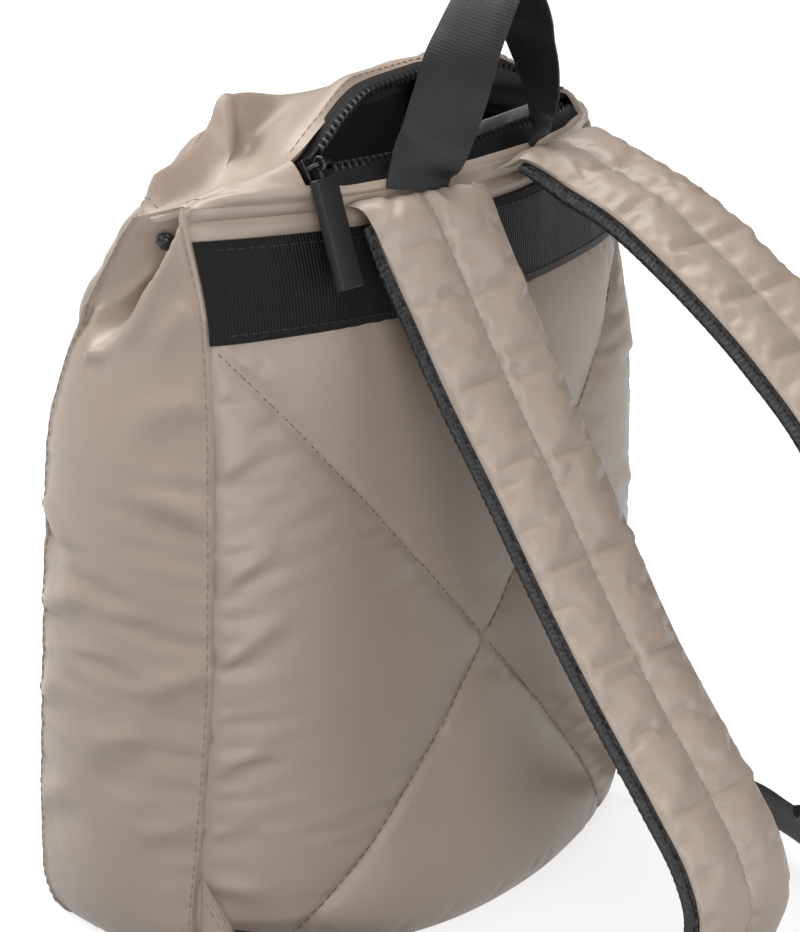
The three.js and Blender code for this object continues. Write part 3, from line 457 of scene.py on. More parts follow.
def top_line(u, ks):
    """Line of the top panel from the rear seam to the front seam."""
    across = abs(u)
    side = -1 if u < 0 else 1
    last = TOP.column("across")[-1]
    edge = side_points(side, np.interp(ks, np.arange(len(SIDE_COLUMNS)), SIDE_COLUMNS), [1.0])[:, 0]
    if across > last:
        share = (across - last) / (1 - last)
        return top_line(side * last, ks) * (1 - share) + edge * share
    rear = back_points([u], [1.0])[0, 0]
    front = front_points([u], [1.0])[0, 0]

    def stops(letter):
        middle = [TOP.at(across, name + letter) for name in ("lip", "rear", "front", "fold", "dip", "ridge")]
        axis = 1 if letter == "Y" else 2
        return np.array([rear[axis], *middle, front[axis]], float)

    half = LEVELS.at(1.0, "left")
    outer = clamp01((across - ZIP_END) / (1 - ZIP_END))
    inner = min(across, ZIP_END) * half
    x = side * (inner + (np.abs(edge[:, 0]) - ZIP_END * half) * outer)
    x += (ks / 10) ** 4 * (front[0] - x[-1]) + (1 - ks / 10) ** 8 * (rear[0] - x[0])
    return np.stack([x, between(TOP_STEPS, stops("Y"), ks), between(TOP_STEPS, stops("Z"), ks)], axis=-1)


def top_points(us, ks):
    return np.array([top_line(u, ks) for u in us])


# Grid helpers
BAG_MIDDLE = np.array([0, 0, 139.0])


def unit(vectors):
    return vectors / np.maximum(np.linalg.norm(vectors, axis=-1, keepdims=True), 1e-9)


def grid_normals(points, middle=BAG_MIDDLE):
    normals = unit(np.cross(np.gradient(points, axis=0), np.gradient(points, axis=1)))
    return normals * np.sign(np.sum(normals * (points - middle)))


def raised(points, height, middle=BAG_MIDDLE):
    """Grid moved out along its normals."""
    return points + grid_normals(points, middle) * np.asarray(height)[..., None]


def lengths(points, axis):
    """Distance along the lines of a grid from their first point."""
    steps = np.linalg.norm(np.diff(points, axis=axis), axis=-1)
    start = np.zeros_like(np.take(steps, [0], axis=axis))
    return np.cumsum(np.concatenate([start, steps], axis=axis), axis=axis)


def from_edge(points, axis, end):
    """Distance along the lines of a grid from their first or last point."""
    run = lengths(points, axis)
    return run if end == 0 else np.take(run, [-1], axis=axis) - run


def from_edges(points, axis):
    """Distance along the lines of a grid from the nearer of their two ends."""
    return np.minimum(from_edge(points, axis, 0), from_edge(points, axis, 1))


def refined(points):
    """Grid with a new point between every two, on smooth curves."""
    for axis in (0, 1):
        line = np.moveaxis(points, axis, 0)
        ends = np.concatenate([[2 * line[0] - line[1]], line, [2 * line[-1] - line[-2]]])
        both = np.empty((2 * len(line) - 1, *line.shape[1:]))
        both[0::2] = line
        both[1::2] = (9 * (ends[1:-2] + ends[2:-1]) - ends[:-3] - ends[3:]) / 16
        points = np.moveaxis(both, 0, axis)
    return points


def on_grid(points, i, j):
    """Points of a grid at fractional places."""
    i = np.clip(i, 0, points.shape[0] - 1.001)
    j = np.clip(j, 0, points.shape[1] - 1.001)
    a = np.floor(i).astype(int)
    b = np.floor(j).astype(int)
    fi = (i - a)[:, None]
    fj = (j - b)[:, None]
    low = points[a, b] * (1 - fi) + points[a + 1, b] * fi
    high = points[a, b + 1] * (1 - fi) + points[a + 1, b + 1] * fi
    return low * (1 - fj) + high * fj


def seam_line(points, normals, i, j):
    """Line across a grid for stitches: its points and their normals."""
    return on_grid(points, i, j), on_grid(normals, i, j)


def puckers(along, away, pitch, reach, seed):
    """Short wrinkles that run away from a seam and fade."""
    drift = 0.35 * noise(along / (3 * pitch), away / (2 * reach), seed + 1)
    ripple = noise(along / pitch + drift, away / (2.5 * reach), seed)
    return np.exp(-away / reach) * ripple


def creased(x, z, width, creases):
    """Rounded ridges with a soft hollow below, from one place of a panel to another."""
    height = np.zeros(np.broadcast(x, z).shape)
    for start_x, start_z, end_x, end_z, spread, rise in creases:
        run_x = (end_x - start_x) * width
        run_z = end_z - start_z
        length = math.hypot(run_x, run_z)
        along = ((x - start_x) * width * run_x + (z - start_z) * run_z) / length
        off = ((z - start_z) * run_x - (x - start_x) * width * run_z) / length * np.sign(run_x)
        fade = smooth(along / (0.2 * length) + 0.4) * smooth((length - along) / (0.6 * length))
        wide = spread * (0.55 + 0.45 * clamp01(along / length))
        ridge = hump(off / wide) - 0.7 * hump((off + 1.7 * wide) / (1.3 * wide))
        height += rise * fade * ridge
    return height


# Cloth simulation, on a copy ten times the size, where the solver's usual settings suit the cloth
SIM_SCALE = 0.01
SIM_FRAMES = 20


def edges_held(points):
    held = np.zeros(points.shape[:2], bool)
    held[[0, -1]] = True
    held[:, [0, -1]] = True
    return held


def draped(points, normals, held, slack, pressure, stiffness, most):
    """Cloth a little too large for its seams, pressed out by its padding; held points stay."""
    n, m = points.shape[:2]
    at = np.arange(n * m).reshape(n, m)
    faces = np.stack([at[:-1, :-1], at[1:, :-1], at[1:, 1:], at[:-1, 1:]], axis=-1).reshape(-1, 4)
    facing = np.cross(np.gradient(points, axis=0), np.gradient(points, axis=1))
    if np.sum(facing * normals) < 0:
        faces = faces[:, ::-1]
    mesh = bpy.data.meshes.new("drape")
    mesh.from_pydata((points.reshape(-1, 3) * SIM_SCALE).tolist(), [], faces.tolist())
    piece = bpy.data.objects.new("drape", mesh)
    scene = bpy.context.scene
    scene.collection.objects.link(piece)
    piece.vertex_groups.new(name="held").add(np.flatnonzero(held.ravel()).tolist(), 1.0, "REPLACE")
    cloth = piece.modifiers.new("cloth", "CLOTH")
    cloth.point_cache.frame_end = SIM_FRAMES
    cloth.collision_settings.use_collision = False
    settings = cloth.settings
    settings.quality = 6
    settings.mass = 0.2
    settings.bending_stiffness = stiffness
    settings.air_damping = 2
    settings.vertex_group_mass = "held"
    settings.shrink_min = -slack
    settings.use_pressure = True
    settings.uniform_pressure_force = pressure
    settings.effector_weights.gravity = 0
    for step in range(1, SIM_FRAMES + 1):
        scene.frame_set(step)
    result = piece.evaluated_get(bpy.context.evaluated_depsgraph_get()).data
    flat = np.zeros(3 * n * m, np.float32)
    result.vertices.foreach_get("co", flat)
    bpy.data.objects.remove(piece)
    bpy.data.meshes.remove(mesh)
    scene.frame_set(1)
    move = flat.reshape(n, m, 3) / SIM_SCALE - points
    size = np.maximum(np.linalg.norm(move, axis=-1, keepdims=True), 1e-6)
    return points + move * (most * np.tanh(size / most) / size)


def draped_panel(points, **settings):
    """Panel of the shell that is held at its edges alone."""
    return draped(points, grid_normals(points), edges_held(points), **settings)


# Meshes
def new_object(name, vertices, faces, materials, smooth_angle=50):
    mesh = bpy.data.meshes.new(name)
    mesh.from_pydata((np.asarray(vertices) * MM).tolist(), [], faces)
    mesh.validate()
    for material in materials:
        mesh.materials.append(material)
    mesh.polygons.foreach_set("use_smooth", np.ones(len(mesh.polygons), bool))
    mesh.set_sharp_from_angle(angle=math.radians(smooth_angle))
    piece = bpy.data.objects.new(name, mesh)
    bpy.context.scene.collection.objects.link(piece)
    return piece


def set_pattern(piece, places):
    """Stores real sizes in metres as a UV map, so that a weave keeps its scale."""
    layer = piece.data.uv_layers.new(name="pattern")
    index = np.zeros(len(piece.data.loops), int)
    piece.data.loops.foreach_get("vertex_index", index)
    layer.uv.foreach_set("vector", (np.asarray(places)[index] * MM).astype(np.float32).ravel())


def outward(vertices, faces):
    """Faces turned so that the closed body they bound looks out."""
    v = np.asarray(vertices)
    volume = 0.0
    for face in faces:
        for k in range(1, len(face) - 1):
            volume += np.dot(v[face[0]], np.cross(v[face[k]], v[face[k + 1]]))
    return faces if volume > 0 else [face[::-1] for face in faces]


ABOVE_FLOOR = np.array([-np.inf, -np.inf, 0])


def shell(name, outer, inner, materials, hole=None):
    """Closed wall between two grids; its inner side has the last material."""
    outer = np.maximum(outer, ABOVE_FLOOR)
    inner = np.maximum(inner, ABOVE_FLOOR)
    n, m = outer.shape[:2]
    cells = np.ones((n - 1, m - 1), bool)
    if hole is not None:
        cells &= ~hole
    under = n * m
    at = np.arange(under).reshape(n, m)
    a, b, c, d = at[:-1, :-1], at[1:, :-1], at[1:, 1:], at[:-1, 1:]
    skin = np.stack([a, b, c, d], axis=-1)[cells]
    padded = np.zeros((n + 1, m + 1), bool)
    padded[1:-1, 1:-1] = cells
    rims = []
    for p, q, beside in (
        (b, a, padded[1:-1, :-2]), (c, b, padded[2:, 1:-1]),
        (d, c, padded[1:-1, 2:]), (a, d, padded[:-2, 1:-1]),
    ):
        edge = cells & ~beside
        rims.append(np.stack([p[edge], q[edge], q[edge] + under, p[edge] + under], axis=-1))
    rim = np.concatenate(rims)
    facing = np.cross(outer[1, 0] - outer[0, 0], outer[0, 1] - outer[0, 0])
    if np.dot(facing, outer[0, 0] - inner[0, 0]) < 0:
        skin = skin[:, ::-1]
        rim = rim[:, ::-1]
    faces = np.concatenate([skin, rim, skin[:, ::-1] + under])
    used, faces = np.unique(faces, return_inverse=True)
    faces = faces.reshape(-1, 4)
    points = np.concatenate([outer.reshape(-1, 3), inner.reshape(-1, 3)])[used]
    piece = new_object(name, points, faces.tolist(), materials)
    inside = np.zeros(len(faces), int)
    inside[-len(skin):] = len(materials) - 1
    piece.data.polygons.foreach_set("material_index", inside)
    places = np.stack([lengths(outer, 0), lengths(outer, 1)], axis=-1).reshape(-1, 2)
    set_pattern(piece, np.concatenate([places, places])[used])
    return piece


def ring_faces(rings, sides, first=0):
    """Faces of a body through rings of points, with its two ends."""
    at = first + np.arange(rings * sides).reshape(rings, sides)
    turned = np.roll(at, -1, axis=1)
    faces = np.stack([at[:-1], turned[:-1], turned[1:], at[1:]], axis=-1).reshape(-1, 4).tolist()
    return faces + [at[0][::-1].tolist(), at[-1].tolist()]


def loft(name, sections, materials, smooth_angle=50):
    """Closed body through loops of points."""
    sections = np.asarray(sections, float)
    n, m = sections.shape[:2]
    points = sections.reshape(-1, 3)
    piece = new_object(name, points, outward(points, ring_faces(n, m)), materials, smooth_angle)
    along = np.repeat(lengths(sections.mean(axis=1, keepdims=True), 0), m, axis=1)
    round_it = np.repeat(lengths(sections[:1], 1), n, axis=0)
    set_pattern(piece, np.stack([along, round_it], axis=-1).reshape(-1, 2))
    return piece


def rides(piece, slot, *nodes, body=BAG):
    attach(piece, body)
    if nodes:
        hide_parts(*nodes)
    return piece


# Materials: each one is a set of nodes on a principled shader. A wave texture of this scale has lines
# one metre apart.
WAVE_SCALE = 0.31416


class Look:
    def __init__(self, name, color, roughness):
        self.material = bpy.data.materials.new(name)
        self.material.use_nodes = True
        self.tree = self.material.node_tree
        self.shader = self.tree.nodes["Principled BSDF"]
        self.color = color
        self.set("Base Color", (*color, 1))
        self.set("Roughness", roughness)
        self.normal = None

    def node(self, kind, **values):
        made = self.tree.nodes.new(kind)
        for key, value in values.items():
            if key in made.inputs:
                made.inputs[key].default_value = value
            else:
                setattr(made, key, value)
        return made

    def link(self, source, target):
        self.tree.links.new(source, target)

    def math(self, operation, *values):
        made = self.node("ShaderNodeMath", operation=operation)
        for socket, value in zip(made.inputs, values):
            if isinstance(value, (int, float)):
                socket.default_value = value
            else:
                self.link(value, socket)
        return made.outputs[0]

    def pattern(self):
        return self.node("ShaderNodeUVMap", uv_map="pattern").outputs["UV"]

    def solid(self):
        return self.node("ShaderNodeTexCoord").outputs["Object"]

    def noise(self, scale, detail=2.0):
        made = self.node("ShaderNodeTexNoise", Scale=scale, Detail=detail)
        self.link(self.solid(), made.inputs["Vector"])
        return made.outputs["Fac"]

    def wave(self, pitch, direction):
        """Rounded lines of a given pitch in metres."""
        made = self.node("ShaderNodeTexWave", Scale=WAVE_SCALE / pitch, bands_direction=direction)
        self.link(self.pattern(), made.inputs["Vector"])
        return made.outputs["Fac"]

    def range(self, value, low, high, start=0.0, end=1.0):
        limits = {"From Min": start, "From Max": end, "To Min": low, "To Max": high}
        made = self.node("ShaderNodeMapRange", **limits)
        self.link(value, made.inputs["Value"])
        return made.outputs["Result"]

    def bump(self, height, distance, strength=1.0):
        made = self.node("ShaderNodeBump", Strength=strength, Distance=distance)
        self.link(height, made.inputs["Height"])
        if self.normal is not None:
            self.link(self.normal, made.inputs["Normal"])
        self.normal = made.outputs["Normal"]
        self.link(self.normal, self.shader.inputs["Normal"])

    def tint(self, factor, dark, light):
        """Colour that runs from a darker to a lighter tone with a factor."""
        made = self.node("ShaderNodeMix", data_type="RGBA")
        self.link(factor, made.inputs["Factor"])
        for socket, share in zip([s for s in made.inputs if s.type == "RGBA"], (dark, light)):
            socket.default_value = (*[share * c for c in self.color], 1)
        self.link([s for s in made.outputs if s.type == "RGBA"][0], self.shader.inputs["Base Color"])

    def set(self, socket, value):
        self.shader.inputs[socket].default_value = value

    def rough(self, factor, low, high):
        self.link(self.range(factor, low, high), self.shader.inputs["Roughness"])


def coated_cloth(name, color):
    """Fine plain weave under a satin coating, with soft tone changes and small crinkles."""
    look = Look(name, color, 0.4)
    weave = look.math("MULTIPLY", look.wave(0.00042, "X"), look.wave(0.00042, "Y"))
    tone = look.math("MULTIPLY_ADD", weave, 0.25, look.range(look.noise(14, 3), 0.15, 0.85))
    look.tint(tone, 0.92, 1.05)
    look.rough(look.noise(45, 4), 0.31, 0.45)
    look.bump(look.noise(70, 2), 0.0012, 0.22)
    look.bump(look.noise(300, 3), 0.0004, 0.25)
    look.bump(weave, 0.00006, 0.4)
    look.set("Specular IOR Level", 0.6)
    look.set("Sheen Weight", 0.05)
    return look.material


def webbing_cloth(name, color, pitch, direction, gloss):
    """Dull ribbed webbing with a fine yarn across the ribs."""
    look = Look(name, color, 0.55)
    rib = look.wave(pitch, direction)
    yarn = look.wave(0.00055, "Y" if direction == "X" else "X")
    cloth = look.math("MULTIPLY", rib, look.range(yarn, 0.5, 1.0))
    look.tint(cloth, 0.8, 1.2)
    look.rough(look.noise(120, 3), 0.4, 0.56)
    look.bump(cloth, 0.0003, 0.6)
    look.set("Specular IOR Level", gloss)
    return look.material


def plain_cloth(name, color):
    look = Look(name, color, 0.7)
    weave = look.math("MULTIPLY", look.wave(0.0006, "X"), look.wave(0.0006, "Y"))
    look.tint(weave, 0.75, 1.2)
    look.rough(look.noise(80, 2), 0.55, 0.75)
    look.bump(look.noise(150, 3), 0.0006, 0.4)
    look.bump(weave, 0.0001, 0.5)
    return look.material


def spacer_cloth(name, color):
    """Knitted spacer mesh: dark round holes between raised yarns."""
    look = Look(name, color, 0.6)
    cells = look.node("ShaderNodeTexVoronoi", Scale=520.0, Randomness=0.35)
    look.link(look.pattern(), cells.inputs["Vector"])
    yarn = look.range(cells.outputs["Distance"], 0.0, 1.4)
    look.tint(yarn, 0.12, 1.8)
    look.rough(look.noise(200, 2), 0.45, 0.65)
    look.bump(yarn, 0.0009, 0.9)
    return look.material


def moulded(name, color, low, high, grain=700):
    """Moulded or painted hard surface with a fine grain and some handling marks."""
    look = Look(name, color, low)
    look.tint(look.noise(40, 3), 0.8, 1.25)
    look.rough(look.noise(90, 4), low, high)
    look.bump(look.noise(grain, 2), 0.00008, 0.5)
    look.set("Specular IOR Level", 0.3)
    return look


def thread(name, color):
    look = Look(name, color, 0.6)
    twist = look.wave(0.0005, "DIAGONAL")
    look.tint(twist, 0.8, 1.1)
    look.bump(twist, 0.0001, 0.5)
    return look.material


TAUPE = coated_cloth("taupe_cloth", (0.36, 0.285, 0.228))
STRAP_TAUPE = coated_cloth("strap_cloth", (0.37, 0.295, 0.238))
LINING = plain_cloth("lining_cloth", (0.2, 0.182, 0.175))
FACING = plain_cloth("facing_cloth", (0.34, 0.34, 0.35))
RIBBED = webbing_cloth("ribbed_webbing", (0.011, 0.011, 0.012), 0.0012, "X", 0.3)
BANDING = webbing_cloth("band_webbing", (0.006, 0.006, 0.0065), 0.0012, "X", 0.14)
TAPE = webbing_cloth("zip_tape", (0.008, 0.008, 0.0088), 0.0007, "X", 0.2)
SPACER = spacer_cloth("spacer_mesh", (0.013, 0.013, 0.014))
TOOTH = moulded("tooth_plastic", (0.014, 0.014, 0.015), 0.28, 0.42).material
RUBBER = moulded("puller_rubber", (0.014, 0.014, 0.015), 0.4, 0.52, 1500).material
PLASTIC = moulded("slide_plastic", (0.015, 0.015, 0.016), 0.36, 0.5).material
METAL_LOOK = moulded("dark_metal", (0.045, 0.045, 0.047), 0.2, 0.32)
METAL_LOOK.set("Metallic", 0.85)
METAL = METAL_LOOK.material
THREAD = thread("taupe_thread", (0.29, 0.23, 0.185))
# Thread of the quilting lines: the taupe thread darkened, as painted shade of the grooves it lies in
QUILT_THREAD_PAINTED_SHADE = thread("quilt_thread_painted_shade", (0.17, 0.13, 0.105))
DARK_THREAD = thread("black_thread", (0.005, 0.005, 0.005))

# Stitches: a row of short threads, half sunk in the cloth
STITCH_PITCH = 3.7
STITCH_LENGTH = 2.8
STITCH_RADIUS = 0.29
STITCH_SIDES = 6
STITCH_RINGS = [(-0.5, 0.35), (-0.3, 0.9), (0.0, 1.0), (0.3, 0.9), (0.5, 0.35)]


def along_line(values, run, at):
    return np.stack([np.interp(at, run, values[:, k]) for k in range(3)], axis=-1)


def stitch_rows(name, rows, material):
    """One piece of many stitches; a row is a line of points with their normals."""
    vertices = []
    faces = []
    angles = np.linspace(0, 2 * math.pi, STITCH_SIDES, endpoint=False)
    for line, normals in rows:
        run = lengths(line[:, None], 0)[:, 0]
        count = max(int(run[-1] / STITCH_PITCH), 1)
        at = (np.arange(count) + 0.5) * run[-1] / count
        step = 0.5 * run[-1] / count
        places = along_line(line, run, at)
        heading = unit(along_line(line, run, at + step) - along_line(line, run, at - step))
        facing = along_line(normals, run, at)
        facing = unit(facing - heading * np.sum(facing * heading, axis=1, keepdims=True))
        across = np.cross(facing, heading)
        for place, ahead, up, beside in zip(places, heading, facing, across):
            first = len(vertices)
            for share, width in STITCH_RINGS:
                centre = place + ahead * share * STITCH_LENGTH + up * STITCH_RADIUS * (0.35 * width - 0.1)
                for angle in angles:
                    spoke = math.cos(angle) * beside + math.sin(angle) * up
                    vertices.append(centre + STITCH_RADIUS * width * spoke)
            faces += ring_faces(len(STITCH_RINGS), STITCH_SIDES, first)
    piece = new_object(name, vertices, faces, [material])
    set_pattern(piece, np.asarray(vertices)[:, :2])
    return piece


# Panels of the shell
CLOTH_WALL = 1.6
SEAM_ROLL = 1.3


def sewn_panel(name, node, skin, plain, height, middle=BAG_MIDDLE, hole=None):
    """Panel of single cloth with a lined inner side that follows its dents."""
    under = raised(plain, np.minimum(height, 0) - CLOTH_WALL, middle)
    cover = shell(name, skin, under, [TAUPE, LINING], hole)
    rides(cover, "shell_cloth", node)


# Back panel: padding quilted along two crossing lines, with cloth gathered a little at the seams
BACK_WALL = 4.0
LIP_SEAM = 273.4
LIP_SEAM_DEPTH = 1.5
LIP_SEAM_WIDTH = 0.9
LIP_MIDDLE = 270.2
LIP_ROLL = 0.9
LIP_ROLL_CHANGE = 0.5
LIP_ROLL_WIDTH = 1.7
LINE_HELD = 1.2
LINE_DEPTH = 1.1
LINE_WIDTH = 1.3
us = np.linspace(-1, 1, 71)
levels = np.linspace(0, 1, 86)
u, z = np.meshgrid(us, levels * REAR_SEAM_HEIGHT, indexing="ij")
BACK_PLAIN = back_points(us, levels)
LINE_SPREAD = 1.49
LINE_LENGTH = 1.35
rising, falling = (d / LINE_SPREAD for d in quilt_lines(u, z))
held = edges_held(BACK_PLAIN) | (z > BAND_LOW) | (np.minimum(rising, falling) < LINE_HELD)
BACK = refined(draped(
    BACK_PLAIN, grid_normals(BACK_PLAIN), held, slack=0.011, pressure=3, stiffness=1.2, most=3.0))
us = np.linspace(-1, 1, 141)
levels = np.linspace(0, 1, 171)
u, z = np.meshgrid(us, levels * REAR_SEAM_HEIGHT, indexing="ij")
BACK_PLAIN = back_points(us, levels)
beside = from_edges(BACK_PLAIN, 0)
below_band = smooth((BAND_LOW + 2 - z) / 6)
height = -SEAM_ROLL * np.exp(-beside / 1.6)
height -= LIP_SEAM_DEPTH * hump((z - LIP_SEAM) / LIP_SEAM_WIDTH)
lip_roll = LIP_ROLL + LIP_ROLL_CHANGE * noise(BACK_PLAIN[..., 0] / 9, z / 30, seed=33)
height += lip_roll * hump((z - LIP_MIDDLE) / LIP_ROLL_WIDTH)
height += below_band * creased(u, z, LEVELS.at(0.5, "left"), BACK_CREASES)
height += 0.35 * puckers(z, beside, pitch=7, reach=7, seed=12)
for away, seed in zip(quilt_lines(u, z), (21, 23)):
    away = away / LINE_SPREAD
    height -= below_band * LINE_DEPTH * hump(away / LINE_WIDTH)
    wrinkles = puckers(LINE_LENGTH * z, away, pitch=7, reach=6, seed=seed)
    height += below_band * 0.4 * wrinkles * smooth(away / 2)
height += below_band * 0.5 * noise(BACK_PLAIN[..., 0] / 46, z / 38, seed=31)
BACK = raised(BACK, height)
back_cover = shell("back_cover", BACK, raised(BACK_PLAIN, np.full(u.shape, -BACK_WALL)), [TAUPE, LINING])
rides(back_cover, "shell_cloth", "back_panel")

# Side panels: soft single cloth, folded in at the top
SIDES = {}
FOLD_START = 215
FOLD_RUN = 30
FOLD_CREASE_END = 235
SIDE_STITCH_INSET = 3.2
SIDE_STITCH_DEPTH = 0.5
SIDE_STITCH_WIDTH = 0.6
PIPING = 0.8
PIPING_INSET = 1.6
PIPING_WIDTH = 1.7
CREASED_WIDTH = 80
FOLDED_WIDTH = 60
for side, name, creases, seed in ((-1, "left", LEFT_CREASES, 41), (1, "right", RIGHT_CREASES, 341)):
    ts = np.linspace(0, 1, 34)
    coarse = np.linspace(0, 1, 86)
    plain = side_points(side, ts, coarse)
    loose = smooth((FOLD_START - plain[..., 2:]) / FOLD_RUN)
    settled = draped_panel(plain, slack=0.009, pressure=2, stiffness=2.0, most=4.0)
    points = refined(plain + (settled - plain) * loose)
    ts = np.linspace(0, 1, 67)
    plain = side_points(side, ts, levels)
    t, z = np.meshgrid(ts, levels * REAR_SEAM_HEIGHT, indexing="ij")
    rear = from_edge(plain, 0, 0)
    front = from_edge(plain, 0, 1)
    inside = smooth((rear - 3) / 8) * smooth((front - 3) / 8)
    below_fold = smooth((FOLD_CREASE_END - z) / 25)
    height = np.zeros(t.shape)
    for edge in (rear, front):
        beyond = np.maximum(edge - PIPING_INSET, 0) / PIPING_WIDTH
        height += PIPING * np.exp(-beyond ** 4) * smooth(edge / 1.2)
        height -= SEAM_ROLL * np.exp(-edge / 0.7)
        height -= SIDE_STITCH_DEPTH * hump((edge - SIDE_STITCH_INSET) / SIDE_STITCH_WIDTH)
    height += 0.3 * puckers(z, rear, pitch=9, reach=9, seed=seed) * inside
    height += 0.3 * puckers(z, front, pitch=9, reach=9, seed=seed + 2) * inside
    folds = creased(t, z, CREASED_WIDTH, creases) * below_fold + creased(t, z, FOLDED_WIDTH, FOLD_CREASES)
    height += folds * smooth(rear / 3) * smooth(front / 3)
    height += 1.3 * noise(rear / 36, z / 50, seed=seed + 4) * inside
    SIDES[side] = raised(points, height)
    sewn_panel(f"side_cover_{name}", f"side_panel_{name}", SIDES[side], plain, height)

# Front panel
front_us = np.linspace(-1, 1, 51)
front_levels = np.linspace(0, 1, 56)
plain = front_points(front_us, front_levels)
front_skin = refined(draped_panel(plain, slack=0.03, pressure=2, stiffness=1.0, most=4.0))
front_us = np.linspace(-1, 1, 101)
front_levels = np.linspace(0, 1, 111)
plain = front_points(front_us, front_levels)
beside = from_edges(plain, 0)
height = -SEAM_ROLL * np.exp(-beside / 1.8)
height += 0.8 * puckers(plain[..., 2], beside, pitch=14, reach=14, seed=51)
height += 1.2 * noise(plain[..., 0] / 52, plain[..., 2] / 60, seed=53) * smooth(beside / 20)
sewn_panel("front_cover", "front_panel", raised(front_skin, height), plain, height)

# Top panel with its mouth
RIDGE_STEP = 8
RIDGE_CREST = 1.8
RIDGE_SHARP = 0.3
HEM = 1.2
HEM_PLACE = 3.5
HEM_WIDTH = 2.5
TOP_FADE = 6
top_us = np.linspace(-1, 1, 161)
top_ks = np.concatenate([
    np.linspace(0, 2, 17), np.linspace(2, 3, 5)[1:], np.linspace(3, 4, 13)[1:], np.linspace(4, 10, 55)[1:],
])
plain = top_points(top_us, top_ks)
k = np.broadcast_to(top_ks, plain.shape[:2])
run = lengths(plain, 1)
rear = from_edge(plain, 1, 0)
front = from_edge(plain, 1, 1)
sides = from_edges(plain, 0)
height = -SEAM_ROLL * (np.exp(-front / 1.4) + np.exp(-sides / 1.2))
height += 0.5 * puckers(plain[..., 0], rear, pitch=8, reach=6, seed=61) * smooth(rear / 3)
height += HEM * hump((rear - HEM_PLACE) / HEM_WIDTH) * smooth(sides / TOP_FADE)
pinch = creased(plain[..., 0], plain[..., 1], 1, TOP_CREASES)
height += pinch * smooth(sides / TOP_FADE) * smooth(k - 3.4)
crest = np.exp(-np.abs(k - RIDGE_STEP) / RIDGE_SHARP) * smooth(np.abs(top_us) / 0.25 - 1)[:, None]
height += RIDGE_CREST * crest * smooth(sides / (2 * TOP_FADE))
height += 0.6 * puckers(run, sides, pitch=7, reach=9, seed=65)
unrest = noise(plain[..., 0] / 24, run / 18, seed=63)
height += 0.6 * unrest * smooth((k - 4) / 2) * smooth(sides / (2 * TOP_FADE))
TOP_SKIN = raised(plain, height, TOP_MIDDLE)
middle_u = np.abs(top_us[:-1] + top_us[1:]) / 2
middle_k = (top_ks[:-1] + top_ks[1:]) / 2
mouth = (middle_u[:, None] < ZIP_END) & ((middle_k > REAR_ZIP_STEP) & (middle_k < FRONT_ZIP_STEP))[None]
sewn_panel("top_cover", "top_panel", TOP_SKIN, plain, height, TOP_MIDDLE, mouth)

# Base: a board under cloth, rounded at its edge
loop = np.concatenate([
    back_points(us, [0.0])[:, 0], side_points(1, ts, [0.0])[1:-1, 0],
    front_points(front_us, [0.0])[::-1, 0], side_points(-1, ts, [0.0])[-2:0:-1, 0],
])
BASE_RINGS = [
    (0.985, 3.0), (0.97, 3.0), (0.5, 3.0), (0.15, 3.0),
    (0.15, 0.0), (0.5, 0.0), (0.9, 0.0), (0.97, 0.1), (0.985, 0.5), (0.99, 1.6),
]
rings = [loop * (share, share, 0) + (0, 0, low) for share, low in BASE_RINGS]
base_cover = loft("base_cover", rings, [TAUPE])
rides(base_cover, "shell_cloth", "base_panel")

# Lining bag
LINING_INSET = 6.4
LINING_REAR_GAP = 2.3
LINING_FLOOR = 4
LINING_WALL = 1
RING_HALF = 41


def lining_ring(level, inset):
    depth = SIDE_FOLD.at(max(level, SIDE_FOLD.column("level")[0]), "depth")
    u = np.concatenate([np.linspace(-1, 1, RING_HALF), np.linspace(1, -1, RING_HALF)])
    reach = half_at(u, level) - FRONT_INSET - depth - inset
    place = u * reach / half_at(u, level)
    z = max(level * FRONT_CORNER_HEIGHT, LINING_FLOOR)
    rear = back_points(place, [level])[:, 0, 1] + LINING_REAR_GAP + inset
    front = front_points(place, [level])[:, 0, 1] - inset
    is_rear = np.arange(2 * RING_HALF) < RING_HALF
    y = np.where(is_rear, rear, front) + 1.2 * noise(u * 6, level * 7, seed=71) * (1 - u * u)
    return np.stack([u * reach, y, np.full(2 * RING_HALF, z)], axis=-1)


lining_levels = np.linspace(0.03, 0.93, 40)
lining_outer = [lining_ring(level, LINING_INSET) for level in lining_levels]
lining_inner = [lining_ring(level, LINING_INSET + LINING_WALL) for level in lining_levels]
lining_inner[0] = lining_inner[0] + (0, 0, LINING_WALL)
lining_bag = loft("lining_bag", lining_outer + lining_inner[::-1], [LINING])
rides(lining_bag, "lining_cloth", "lining")

# Webbing band across the back
BAND_SAG = 0.5
BAND_CLEARANCE = 0.3
BAND_UNDERSIDE = 0.25
band_us = np.linspace(-BAND_REACH, BAND_REACH, 321)
band_levels = np.linspace(BAND_LOW, BAND_HIGH, 14) / REAR_SEAM_HEIGHT
plain = back_points(band_us, band_levels)
run = lengths(plain, 0)
rise = from_edges(plain, 1)
sag = BAND_SAG * noise(run / 34, plain[..., 2] / 26, seed=81)
ends = from_edges(plain, 0)
tuck = 0.7 * np.exp(-rise / 0.8) + 1.5 * np.exp(-ends / 2)
BAND = raised(plain, BAND_CLEARANCE + BAND_THICKNESS + sag - tuck)
band = shell("back_webbing", BAND, raised(plain, np.full(rise.shape, BAND_UNDERSIDE)), [BANDING])
rides(band, "webbing", "back_band")


